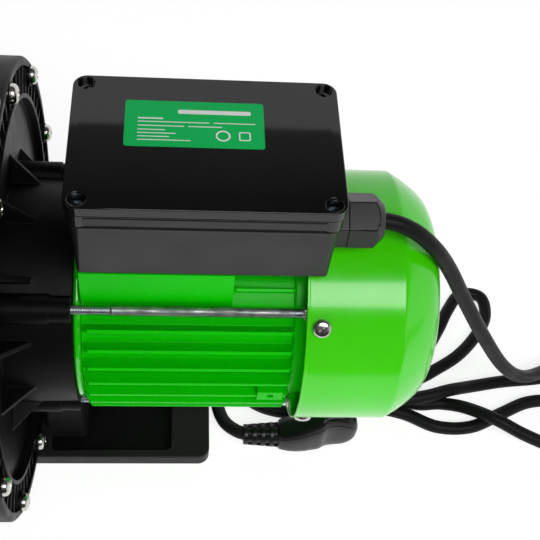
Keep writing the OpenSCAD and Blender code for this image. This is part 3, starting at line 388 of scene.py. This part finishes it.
BLACK = (0.0034, 0.0033, 0.0035)
GREEN = (0.050, 0.640, 0.0006)
finishes = {
    "black_plastic": moulded("black_plastic", BLACK, 0.42, 0.5, 0.015, specular=0.09),
    "foot_plastic": moulded("foot_plastic", (0.0135, 0.0132, 0.0136), 0.40, 0.5, 0.015, specular=0.14),
    "pot_plastic": moulded("pot_plastic", (0.007, 0.007, 0.0073), 0.38, 0.6, 0.02, specular=0.35),
    "box_plastic": moulded("box_plastic", (0.0085, 0.0083, 0.0085), 0.32, 0.3, 0.012, specular=0.42),
    "lid_plastic": moulded("lid_plastic", (0.0042, 0.0041, 0.0042), 0.03, 0.9, 0.0003, wear_and_highlight=0.1, sink=0.01),
    "gland_plastic": moulded("gland_plastic", (0.0075, 0.0073, 0.0076), 0.34, 0.25, 0.012, specular=0.4),
    "ivory_plastic": moulded("ivory_plastic", (0.66, 0.63, 0.53), 0.42, 0.4, 0.015, tone=0.06, wear_and_highlight=0.05),
    "clear_plastic": clear_plastic("clear_plastic"),
    "green_sheet": enamel("green_sheet", GREEN, 0.19, 1.3, 0.014, coat=0.22),
    "green_casting": enamel("green_casting", (0.003, 0.540, 0.0004), 0.24, 1.6, 0.03, specular=0.09),
    "green_gloss": enamel("green_gloss", (0.010, 0.500, 0.002), 0.14, 1.6, 0.02, coat=0.9, specular=0.5),
    "zinc_steel": metal("zinc_steel", (0.62, 0.60, 0.57), 0.20, depth=0.0015, tint=0.06),
    "blued_zinc": metal("blued_zinc", (0.55, 0.68, 0.76), 0.42),
    "bright_zinc": metal("bright_zinc", (0.34, 0.37, 0.40), 0.40, scratch=700, depth=0.003),
    "rod_steel": metal("rod_steel", (0.32, 0.34, 0.33), 0.52, (0.12, 1, 1), 900, 0.02, 0.40),
    "shaft_steel": metal("shaft_steel", (0.60, 0.61, 0.63), 0.20, scratch=1500, depth=0.002),
    "bearing_steel": metal("bearing_steel", (0.66, 0.67, 0.69), 0.14, scratch=1800, depth=0.001),
    "core_steel": metal("core_steel", (0.36, 0.36, 0.38), 0.42, (8, 1, 1), 700, 0.02),
    "winding": moulded("winding", (0.42, 0.14, 0.03), 0.30, 0.5, 0.15, tone=0.3, wear_and_highlight=0.3),
    "rubber": moulded("rubber", (0.011, 0.011, 0.011), 0.62, 0.3, 0.02),
    "cord_rubber": moulded("cord_rubber", (0.0072, 0.0072, 0.0074), 0.46, wear_and_highlight=0.0, specular=0.14),
    "plug_rubber": moulded("plug_rubber", (0.0045, 0.0044, 0.0046), 0.30, 0.3, 0.01, wear_and_highlight=0.0, specular=0.3),
    "ceramic": moulded("ceramic", (0.80, 0.76, 0.66), 0.22, 0.2, 0.004, tone=0.04, wear_and_highlight=0.0),
    "carbon": moulded("carbon", (0.02, 0.02, 0.022), 0.5, 0.2, 0.01),
    "brass": metal("brass", (0.62, 0.42, 0.14), 0.26),
    "pin_metal": metal("pin_metal", (0.66, 0.62, 0.52), 0.20),
    "label": moulded("label", (0.0008, 0.46, 0.095), 0.22, 0.4, 0.001, tone=0.05, wear_and_highlight=0.0, specular=0.16,
                     sink=0.03),
    "print_white": moulded("print_white", (0.78, 0.80, 0.78), 0.4, 0.3, 0.001, tone=0.03, wear_and_highlight=0.0),
}


def add_piece(name, bm, finish, body, *nodes, bevel=0.0, angle=35, segments=2, slot=None):
    """Turns a bmesh in millimetres into a piece that rides on a body and stands for CAD nodes."""
    bmesh.ops.recalc_face_normals(bm, faces=bm.faces)
    bmesh.ops.scale(bm, vec=(MM, MM, MM), verts=bm.verts)
    mesh = bpy.data.meshes.new(name)
    bm.to_mesh(mesh)
    bm.free()
    mesh.shade_smooth()
    mesh.materials.append(finishes[finish])
    obj = bpy.data.objects.new(name, mesh)
    bpy.context.scene.collection.objects.link(obj)
    if bevel:
        add_bevel(obj, bevel, angle, segments)
    else:
        mesh.set_sharp_from_angle(angle=math.radians(angle))
        weigh_normals(obj, True)
    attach(obj, body)
    if nodes:
        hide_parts(*nodes)
    return obj


def weigh_normals(obj, keep_sharp):
    normals = obj.modifiers.new("normals", "WEIGHTED_NORMAL")
    normals.keep_sharp = keep_sharp
    normals.weight = 80


def add_bevel(obj, width, angle=35, segments=2):
    mod = obj.modifiers.new("edges", "BEVEL")
    mod.width = width * MM
    mod.segments = segments
    mod.limit_method = "ANGLE"
    mod.angle_limit = math.radians(angle)
    mod.use_clamp_overlap = False
    mod.miter_outer = "MITER_ARC"
    weigh_normals(obj, False)


def loft(bm, rings, closed=False):
    """Skins rings of points that all have the same count; closed joins the ends, which are else capped."""
    rows = [[bm.verts.new(p) for p in ring] for ring in rings]
    count = len(rows[0])
    pairs = list(zip(rows, rows[1:])) + ([(rows[-1], rows[0])] if closed else [])
    for low, high in pairs:
        for k in range(count):
            n = (k + 1) % count
            bm.faces.new((low[k], low[n], high[n], high[k]))
    if not closed:
        bm.faces.new(rows[0])
        bm.faces.new(rows[-1])


# two directions across each axis, then the axis itself
AXES = {"X": ((0, 1, 0), (0, 0, 1), (1, 0, 0)), "Z": ((1, 0, 0), (0, 1, 0), (0, 0, 1))}


def circle_ring(centre, axis, radius, along, count):
    u, v, w = (Vector(a) for a in AXES[axis])
    middle = Vector(centre) + w * along
    return [middle + radius * (u * math.cos(2 * math.pi * k / count) + v * math.sin(2 * math.pi * k / count))
            for k in range(count)]


def lathe(bm, outline, axis="X", centre=(0, 0, SHAFT_H), count=96, closed=True):
    """Turns (radius, along) points about an axis into a ring, or a capped solid if the outline is open."""
    loft(bm, [circle_ring(centre, axis, r, a, count) for r, a in outline], closed)


def rounded(l, w, r, z, cx=0.0, cy=0.0, n=8):
    """A ring of points round a rectangle with round corners."""
    ring = []
    for qx, qy, start in ((1, 1, 0), (-1, 1, 90), (-1, -1, 180), (1, -1, 270)):
        for k in range(n + 1):
            a = math.radians(start + 90 * k / n)
            x = cx + qx * (l / 2 - r) + r * math.cos(a)
            y = cy + qy * (w / 2 - r) + r * math.sin(a)
            ring.append(Vector((x, y, z)))
    return ring


def disc(r, cx, cy, n=36):
    return [Vector((cx + r * math.cos(2 * math.pi * k / n), cy + r * math.sin(2 * math.pi * k / n), 0))
            for k in range(n)]


def slab(bm, outline, holes, z0, z1, edge):
    """A plate with rounded edges: outlines are given already pulled in, and holes widened, by edge."""
    curve = bpy.data.curves.new("slab", "CURVE")
    curve.dimensions = "2D"
    curve.fill_mode = "BOTH"
    curve.extrude = (z1 - z0) / 2 - edge
    curve.bevel_depth = edge
    curve.bevel_resolution = 3
    for ring in [outline, *holes]:
        spline = curve.splines.new("POLY")
        spline.points.add(len(ring) - 1)
        for point, place in zip(spline.points, ring):
            point.co = (place[0], place[1], 0, 1)
        spline.use_cyclic_u = True
    obj = bpy.data.objects.new("slab", curve)
    bpy.context.scene.collection.objects.link(obj)
    mesh = bpy.data.meshes.new_from_object(obj.evaluated_get(bpy.context.evaluated_depsgraph_get()))
    mesh.transform(Matrix.Translation((0, 0, (z0 + z1) / 2)))
    bm.from_mesh(mesh)
    bmesh.ops.remove_doubles(bm, verts=bm.verts, dist=0.002)
    bpy.data.objects.remove(obj)
    bpy.data.curves.remove(curve)
    bpy.data.meshes.remove(mesh)


def block(bm, low, high):
    """A plain box between two corners, to be rounded by its piece's bevel."""
    x0, y0, z0 = low
    x1, y1, z1 = high
    loft(bm, [[(x0, y0, z), (x1, y0, z), (x1, y1, z), (x0, y1, z)] for z in (z0, z1)])


def polar(angle, radius, x):
    """A point and its outward direction about the shaft; the angle is measured upwards from the front."""
    a = math.radians(angle)
    out = Vector((0, -math.cos(a), math.sin(a)))
    return Vector((x, 0, SHAFT_H)) + out * radius, out


def catmull_rom(points, steps):
    points = [Vector(p) for p in points]
    ends = [2 * points[0] - points[1]] + points + [2 * points[-1] - points[-2]]
    line = []
    for i in range(1, len(ends) - 2):
        a, b, c, d = ends[i - 1:i + 3]
        for k in range(steps):
            t = k / steps
            line.append(0.5 * (2 * b + (c - a) * t + (2 * a - 5 * b + 4 * c - d) * t * t
                               + (3 * b - a - 3 * c + d) * t ** 3))
    return line + [points[-1]]


# ---------------------------------------------------------------- cord and plug
def make_cord():
    line = [p * MM for p in catmull_rom(ROUTE, 8)]
    curve = bpy.data.curves.new("mains_cord", "CURVE")
    curve.dimensions = "3D"
    curve.bevel_depth = CORD_R * MM
    curve.bevel_resolution = 8
    curve.use_fill_caps = True
    spline = curve.splines.new("POLY")
    spline.points.add(len(line) - 1)
    for point, place in zip(spline.points, line):
        point.co = (*place, 1.0)
    spline.use_smooth = True
    curve.materials.append(finishes["cord_rubber"])
    cord = bpy.data.objects.new("mains_cord", curve)
    bpy.context.scene.collection.objects.link(cord)
    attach(cord, "pump")
    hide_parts("power_cord")
    return cord, sum((b - a).length for a, b in zip(line, line[1:]))


cord, cord_length = make_cord()


def make_plug():
    """Moulded angled plug: two rounded halves with a parting groove."""
    # each section: place along the plug, its two sides, its underside and its top
    sections = [(96, -34, -21.5, 4.6, 19.4), (97, -35.8, -19.6, 3, 21.2), (100.5, -36.8, -18.6, 1.8, 23),
                (106, -37.4, -18.2, 0.8, 26), (112, -37.4, -18, 0.3, 29.4), (118, -36.6, -18, 0.2, 33),
                (123, -35.6, -18, 0.1, 36.2), (127, -33.2, -18, 0.1, 36.8), (132, -32.2, -18, 0.1, 36.6),
                (138, -32.4, -18, 2, 35), (142.4, -32, -18.6, 5.6, 31.6), (145.2, -30.6, -20, 9.6, 27.6),
                (146.6, -28.4, -22.6, 14, 23)]
    squareness = 3.1
    pin_face_y = -18.0
    seams, seam_depth, seam_start, seam_end = (150, 270), 0.55, 96.5, 145
    angles = [k * 7.5 for k in range(48)]
    angles += [seam + turn for seam in seams for turn in (-1.4, -0.7, 0.7, 1.4)]
    angles.sort()
    rings = []
    for x, y0, y1, z0, z1 in sections:
        ring = []
        for angle in angles:
            in_seam = seam_start < x < seam_end and any(abs(angle - seam) < 1 for seam in seams)
            groove = seam_depth if in_seam else 0.0
            a = math.radians(angle)
            c, n = math.cos(a), math.sin(a)
            y = math.copysign(abs(c) ** (2 / squareness), c)
            z = math.copysign(abs(n) ** (2 / squareness), n)
            ring.append((x, (y0 + y1) / 2 + y * ((y1 - y0) / 2 - groove),
                         (z0 + z1) / 2 + z * ((z1 - z0) / 2 - groove)))
        rings.append(ring)
    columns = [catmull_rom([ring[k] for ring in rings], 4) for k in range(len(angles))]
    bm = bmesh.new()
    loft(bm, list(zip(*columns)))
    for v in bm.verts:
        v.co.y = min(pin_face_y, v.co.y)
        v.co.z = max(0.0, v.co.z)
    return add_piece("mains_plug", bm, "plug_rubber", "pump", "plug_body", angle=40, slot="gland_plastic")


def make_relief():
    """Tapered strain relief: rings on a slim core, tied by bars that leave slots between them."""
    axis = (0, PLUG_CORD_Y, PLUG_CORD_Z)
    inner = CORD_R + 0.05
    bm = bmesh.new()
    lathe(bm, [(inner, 74.4), (5.0, 74.6), (5.9, 97.5), (inner, 97.5)], "X", axis, 64)
    rings = [(75.6 + 5.5 * k, 6.5 + 0.42 * k) for k in range(5)]
    half = 1.5
    for x, r in rings:
        lathe(bm, [(inner, x - half), (r - 0.5, x - half), (r - 0.15, x - half + 0.15), (r, x - half + 0.5),
                   (r, x + half - 0.5), (r - 0.15, x + half - 0.15), (r - 0.5, x + half), (inner, x + half)],
              "X", axis, 64)
    for (x0, r0), (x1, r1) in zip(rings, rings[1:]):
        for angle in (45, 135, 225, 315):
            a = math.radians(angle)
            out = Vector((0, math.cos(a), math.sin(a)))
            side = Vector((0, -math.sin(a), math.cos(a)))
            loft(bm, [[Vector((x, PLUG_CORD_Y, PLUG_CORD_Z)) + out * reach + side * wide
                       for reach, wide in ((4.5, -1.5), (r - 0.25, -1.5), (r - 0.25, 1.5), (4.5, 1.5))]
                      for x, r in ((x0 + half - 0.1, r0), (x1 - half + 0.1, r1))])
    return add_piece("plug_strain_relief", bm, "plug_rubber", "pump", angle=50, slot="gland_plastic")


plug = make_plug()
relief = make_relief()


# ---------------------------------------------------------------- screws and rods
def new_temp(bm):
    mesh = bpy.data.meshes.new("temp")
    bm.to_mesh(mesh)
    bm.free()
    obj = bpy.data.objects.new("temp", mesh)
    bpy.context.scene.collection.objects.link(obj)
    return obj


def screw_head(radius, height):
    """A pan head standing on z = 0 with a cross recess, as a mesh in millimetres."""
    profile = [(0.0, 0.0), (1.0, 0.0), (1.0, 0.26), (0.985, 0.42), (0.93, 0.60), (0.84, 0.76), (0.70, 0.88),
               (0.50, 0.96), (0.25, 0.995), (0.02, 1.0)]
    bm = bmesh.new()
    lathe(bm, [(max(0.02, radius * r), height * h) for r, h in profile], "Z", (0, 0, 0), 48, closed=False)
    bmesh.ops.recalc_face_normals(bm, faces=bm.faces)
    head = new_temp(bm)
    bm = bmesh.new()
    reach, half = radius * 0.52, radius * 0.11
    low, top = height * 0.38, height * 1.2
    for long_x, long_y in ((reach, half), (half, reach)):
        loft(bm, [[(-long_x * g, -long_y * g, z), (long_x * g, -long_y * g, z), (long_x * g, long_y * g, z),
                   (-long_x * g, long_y * g, z)] for z, g in ((low, 0.72), (top, 1.05))])
    bmesh.ops.recalc_face_normals(bm, faces=bm.faces)
    cutter = new_temp(bm)
    cut = head.modifiers.new("recess", "BOOLEAN")
    cut.operation = "DIFFERENCE"
    cut.solver = "EXACT"
    cut.use_self = True
    cut.object = cutter
    mesh = bpy.data.meshes.new_from_object(head.evaluated_get(bpy.context.evaluated_depsgraph_get()))
    bpy.data.objects.remove(head)
    bpy.data.objects.remove(cutter)
    return mesh


THREAD_PITCH = 0.8


def make_screws(name, node, places, radius, height, shank_r, shank_l, finish="zinc_steel"):
    """Screws at (seat, outward direction) places, each turned a little further than the last."""
    head = screw_head(radius, height)
    bm = bmesh.new()
    for i, (place, out) in enumerate(places):
        spin = Matrix.Rotation(math.radians(37 + 53 * i), 4, "Z")
        turn = Vector(out).to_track_quat("Z", "Y").to_matrix().to_4x4()
        put = Matrix.Translation(place) @ turn @ spin
        before = len(bm.verts)
        bm.from_mesh(head)
        ridges = [(shank_r * 0.7, -shank_l), (shank_r, -shank_l + 0.8)]
        for k in range(int((shank_l - 2) / THREAD_PITCH)):
            crest = -shank_l + 1.0 + THREAD_PITCH * k
            ridges += [(shank_r, crest), (shank_r * 0.9, crest + THREAD_PITCH / 2)]
        ridges += [(shank_r, -0.6), (shank_r, 0.05)]
        lathe(bm, ridges, "Z", (0, 0, 0), 24, closed=False)
        bm.verts.ensure_lookup_table()
        bmesh.ops.transform(bm, matrix=put, verts=bm.verts[before:])
    return add_piece(name, bm, finish, "pump", node, angle=30, slot="zinc_steel")


UP, DOWN, TO_MOTOR = Vector((0, 0, 1)), Vector((0, 0, -1)), Vector((1, 0, 0))
make_screws("cover_screws", "fan_cover_screws",
            [polar(a, COVER_R + 0.02, COVER_SCREW_X) for a in COVER_SCREW_ANGLES], 5.0, 3.3, 2.0, 9.0)
make_screws("flange_screws", "casing_screws",
            [(polar(360 / FLANGE_SCREWS * k, FLANGE_SCREW_R, FLANGE_SEAT_X)[0], TO_MOTOR)
             for k in range(FLANGE_SCREWS)], 5.2, 3.8, 2.5, 28.0)
make_screws("foot_screws", "base_screws", [(Vector((FOOT_POST_X, side * 13, 58)), DOWN) for side in (-1, 1)],
            5.6, 3.8, 2.96, 10.0)
make_screws("lid_screws", "box_screws", [(Vector((x, y, WELL_FLOOR + 0.02)), UP) for x, y in WELLS],
            3.7, 2.6, 2.0, 19.0, "blued_zinc")


def make_tie_rods():
    """Drawn rods, slightly uneven, with a thread at each end."""
    thin = bmesh.new()
    thick = bmesh.new()
    shank = [(2.3, -2.7), (2.5, -2.3)]
    shank += [(2.5 + 0.03 * math.sin(k * 1.9) * math.sin(k * 0.37), -2 + 2.0 * k) for k in range(45)]
    shank.append((2.4, 87.0))
    for a in ROD_ANGLES:
        centre = polar(a, ROD_CIRCLE_R, 0)[0]
        for x0, x1, r in ((-40, -2.6, 2.3), (86, 99.2, 2.45)):
            ridges = [(r * 0.75, x0), (r, x0 + 0.5)]
            x = x0 + THREAD_PITCH
            while x < x1 - THREAD_PITCH:
                ridges += [(r, x), (r, x + 0.2), (r - 0.09, x + 0.4), (r - 0.09, x + 0.6)]
                x += THREAD_PITCH
            ridges += [(r, x1 - 0.3), (r * 0.8, x1)]
            lathe(thin, ridges, "X", centre, 28, closed=False)
        lathe(thick, shank, "X", centre, 32, closed=False)
    add_piece("tie_rod_threads", thin, "bright_zinc", "pump", "tie_rods", angle=60, slot="zinc_steel")
    add_piece("tie_rod_shanks", thick, "rod_steel", "pump", angle=50, slot="zinc_steel")


make_tie_rods()


# ---------------------------------------------------------------- fan cover
def make_fan_cover():
    """Pressed sheet cover: rolled rim, crease, dome, and ring slots in the end."""
    rim = [(69.3, 95.0), (70.0, 95.0), (70.35, 95.25), (70.4, 95.7), (70.2, 96.3), (70.0, 96.9)]
    side = [(COVER_R, x) for x in (100, 106, 112, 118, 124, 130, 136, 141, 144.4)]
    dome = catmull_rom([(69.4, 146.6, 0), (64.9, 153.8, 0), (60.4, 159.8, 0), (56.1, 164, 0),
                        (51.6, 166.7, 0), (48, 168.2, 0)], 4)
    profile = rim + side + [(69.92, 145.4)] + [(p.x, p.y) for p in dome]
    end_x, end_crown = 169.2, 0.012
    open_rows = set()
    for k in range(6):
        inner, outer = 41.5 - 6.5 * k, 45.5 - 6.5 * k
        open_rows.add(len(profile))
        profile += [(outer, end_x - outer * end_crown), (inner, end_x - inner * end_crown)]
    sectors, columns, half_spoke = 6, 22, 2.4
    bm = bmesh.new()
    rows = []
    for r, x in profile:
        half = math.degrees(math.asin(min(1.0, half_spoke / r)))
        step = (360 / sectors - 2 * half) / columns
        turns = [-half, 0] + [half + step * k for k in range(columns)]
        rows.append([bm.verts.new(polar(360 / sectors * (sector + 0.5) + turn, r, x)[0])
                     for sector in range(sectors) for turn in turns])
    count = len(rows[0])
    per_sector = count // sectors
    for i in range(len(rows) - 1):
        for k in range(count):
            spoke = k % per_sector < 2
            if i in open_rows and not spoke:
                continue
            n = (k + 1) % count
            bm.faces.new((rows[i][k], rows[i][n], rows[i + 1][n], rows[i + 1][k]))
    hub = bm.verts.new(Vector((end_x, 0, SHAFT_H)))
    for k in range(count):
        bm.faces.new((rows[-1][k], rows[-1][(k + 1) % count], hub))
    cover = add_piece("fan_cover_sheet", bm, "green_sheet", "pump", "fan_cover", angle=42)
    sheet = cover.modifiers.new("sheet", "SOLIDIFY")
    sheet.thickness = 0.8 * MM
    sheet.offset = -1
    cover.modifiers.move(1, 0)


make_fan_cover()


def make_rear_shield():
    """Cast end shield behind the fins, with four ears for the tie rods under the cover's edge."""
    bm = bmesh.new()
    lathe(bm, [(9.2, 99.5), (24, 99.5), (24, 95), (50, 95), (50, 107), (56, 107), (56, 91.2), (55.2, 90.1),
               (48.5, 90.1), (48.5, 91), (24, 91), (24, 84), (14.6, 84), (14.6, 97.3), (9.2, 97.3)])
    ear = [(-6, 55), (-5.5, 65), (-3, 67), (3, 67), (5.5, 65), (6, 55)]
    for angle in ROD_ANGLES:
        loft(bm, [[polar(angle + side, r, x)[0] for side, r in ear] for x in (95.4, 98.6)])
    add_piece("rear_shield", bm, "green_casting", "pump", "rear_end_shield", bevel=0.4)


make_rear_shield()


# ---------------------------------------------------------------- terminal box
def make_lid():
    """Box lid: a top plate with round wells, the lip under it, and the wells' liners."""
    bm = bmesh.new()
    edge, well_r = 0.55, 4.05
    slab(bm, rounded(LID_L - 2 * edge, LID_W - 2 * edge, 7 - edge, 0, LID_X, LID_Y),
         [disc(well_r + edge, x, y) for x, y in WELLS], 243.6, 249.5, edge)
    add_piece("box_lid_top", bm, "lid_plastic", "pump", "box_lid", angle=40)
    bm = bmesh.new()
    lip = [(0.2, 7, 243.9), (0.2, 7, 243.0), (9, 4, 243.0), (9, 4, 246.8), (3, 6, 246.8)]
    loft(bm, [rounded(LID_L - inset, LID_W - inset, r, z, LID_X, LID_Y) for inset, r, z in lip], closed=True)
    for x, y in WELLS:
        liner = [(5.3, 248.6), (5.5, 236.0), (2.2, 236.0), (2.2, WELL_FLOOR), (4.0, WELL_FLOOR),
                 (well_r, 248.6), (4.6, 249.0)]
        lathe(bm, liner, "Z", (x, y, 0), 40)
    add_piece("box_lid_wells", bm, "lid_plastic", "pump", angle=35)


def make_box():
    """Box body with drafted sides and two seam grooves, and the boss that takes the gland."""
    # each ring: how much shorter and narrower than the lid, corner radius and height
    outer = [(8.8, 4.0, 1.2, 199.02), (8.2, 3.4, 1.4, 199.2), (7.8, 3.0, 1.6, 200.0), (4.0, 3.4, 5, 231.9),
             (3.6, 3.2, 6, 232.1), (2.1, 2.1, 6.6, 232.4), (2.0, 2.0, 6.6, 233.9), (3.6, 3.6, 6, 234.2),
             (3.6, 3.6, 6, 236.3), (1.6, 1.6, 6.6, 236.6), (1.4, 1.4, 6.6, 241.1), (2.0, 2.0, 6.4, 241.5)]
    inner = [(8.0, 8.0, 4, 241.5), (19.5, 14, 3, 202.2)]
    bm = bmesh.new()
    loft(bm, [rounded(LID_L - dl, LID_W - dw, r, z, LID_X, LID_Y) for dl, dw, r, z in outer + inner])
    add_piece("terminal_box_body", bm, "box_plastic", "pump", "terminal_box", angle=30)
    bm = bmesh.new()
    block(bm, (99, -29, 207), (105.5, -7, 228))
    add_piece("gland_boss", bm, "box_plastic", "pump", bevel=1.2, segments=3)


make_lid()
make_box()


def make_label():
    """Blank rating sticker with plain printed bars, no lettering."""
    bm = bmesh.new()
    cx, cy, z = 36.8, 12.4, 249.52
    slab(bm, rounded(66.4, 29.9, 1.4, 0, cx, cy), [], z, z + 0.26, 0.05)
    add_piece("sticker", bm, "label", "pump", "rating_label", angle=50)
    bm = bmesh.new()
    ink = (z + 0.25, z + 0.30, 0.01)
    # each bar: its left end and middle from the sticker's centre, its length and its height
    bars = [(-8, 8.0, 35, 2.6), (-27, 3.2, 12, 0.8), (-27, 1.0, 34, 0.5), (9, 1.0, 20, 0.5),
            (-27, -1.6, 22, 0.5), (-3, -1.6, 16, 0.5), (-27, -4.2, 13, 0.5), (-27, -6.4, 18, 0.5),
            (-27, -8.6, 15, 0.5), (-27, -10.8, 25, 0.5)]
    for x, y, length, height in bars:
        slab(bm, rounded(length, height, height * 0.3, 0, cx + x + length / 2, cy + y, n=3), [], *ink)
    slab(bm, disc(3.5, cx + 13.5, cy - 7.2), [disc(2.7, cx + 13.5, cy - 7.2)], *ink)
    slab(bm, rounded(5.6, 5.6, 0.8, 0, cx + 23.8, cy - 7.2), [rounded(4.4, 4.4, 0.5, 0, cx + 23.8, cy - 7.2)],
         *ink)
    add_piece("sticker_print", bm, "print_white", "pump", angle=50, slot="label")


make_label()


# ---------------------------------------------------------------- foot
def make_foot():
    """Foot plate with side rails under the flange, its sunk tray, and the post that holds the bracket."""
    x0, x1, width, top = -53.75, 52.6, 86.0, 10.0
    tray_x, tray_l, tray_w = -8.8, 74.4, width - 10
    bolt_r, bolt_x, web_x = 4.5, 40, -10
    edge = 0.9
    near, far = width / 2 - edge, width / 2 - 4.6
    tail = -59 + edge
    corners = rounded(2 * (x1 - edge), 2 * near, 7 - edge, 0)
    corner = len(corners) // 4
    outline = [Vector(p) for p in ((x0 + edge, -far, 0), (tail, -far, 0), (tail, -near, 0))]
    outline += corners[3 * corner:] + corners[:corner]
    outline += [Vector(p) for p in ((tail, near, 0), (tail, far, 0), (x0 + edge, far, 0))]
    bm = bmesh.new()
    slab(bm, outline, [rounded(tray_l + 2 * edge, tray_w + 2 * edge, 3 + edge, 0, tray_x, 0),
                       disc(bolt_r + edge, bolt_x, 0)], 0, top, edge)
    add_piece("foot_plate", bm, "foot_plastic", "pump", "base_foot", angle=40, slot="black_plastic")
    bm = bmesh.new()
    slab(bm, rounded(tray_l + 2.2, tray_w + 2.2, 4, 0, tray_x, 0), [disc(bolt_r + 0.1, web_x, 0)],
         0.3, 2.4, 0.1)
    # thin knock-out web that closes the bolt hole
    slab(bm, disc(bolt_r + 0.2, web_x, 0), [], 0.1, 0.6, 0.05)
    # the tray takes the darker bracket black, not the paler foot_plastic of the plate around it: painted
    # shade in the pocket under the motor
    add_piece("foot_tray", bm, "black_plastic", "pump", angle=40)
    bm = bmesh.new()
    flare = [(1.0, 3.0), (3.0, 1.6), (5.0, 0.6), (66.0, 0)]
    loft(bm, [rounded(24 + grow, 48 + grow, 4, z, FOOT_POST_X, 0) for z, grow in flare])
    add_piece("foot_post", bm, "foot_plastic", "pump", bevel=0.8, segments=3, slot="black_plastic")


make_foot()


# ---------------------------------------------------------------- finishes of the CAD nodes
# how far the sharp edges of each node are rounded, in millimetres
EDGE_RADII = {
    "motor_bracket": 0.45, "pump_casing": 0.6, "strainer_pot": 0.6, "lock_ring": 0.6, "suction_nut": 0.6,
    "discharge_nut": 0.6, "union_tails": 0.5, "drain_plugs": 0.4, "pot_bolts": 0.3, "casing_nuts": 0.25,
    "gland_nut": 0.5, "gland_body": 0.4, "stator_frame": 0.35, "front_end_shield": 0.5, "tie_rod_nuts": 0.25,
    "terminal_block": 0.3, "run_capacitor": 0.5, "capacitor_clamp": 0.3, "cooling_fan": 0.3,
    "strainer_basket": 0.25, "impeller_nut": 0.3, "pot_gasket": 0.2}
# nodes whose surface differs from the rest of their material slot
NODE_FINISHES = {"front_end_shield": "green_gloss"}


def dress(node, width):
    """Rounds the sharp edges of a CAD node with modifiers, which leave its mesh alone."""
    weld = node.modifiers.new("weld", "WELD")
    weld.merge_threshold = 0.005 * MM
    add_bevel(node, width, 32)


slots = {part["node"]: part["material_slot"] for part in frame["record"]["subparts"]}
for name, node in frame["nodes"].items():
    node.data.materials.clear()
    node.data.materials.append(finishes[NODE_FINISHES.get(name, slots[name])])
    if name in EDGE_RADII:
        dress(node, EDGE_RADII[name])
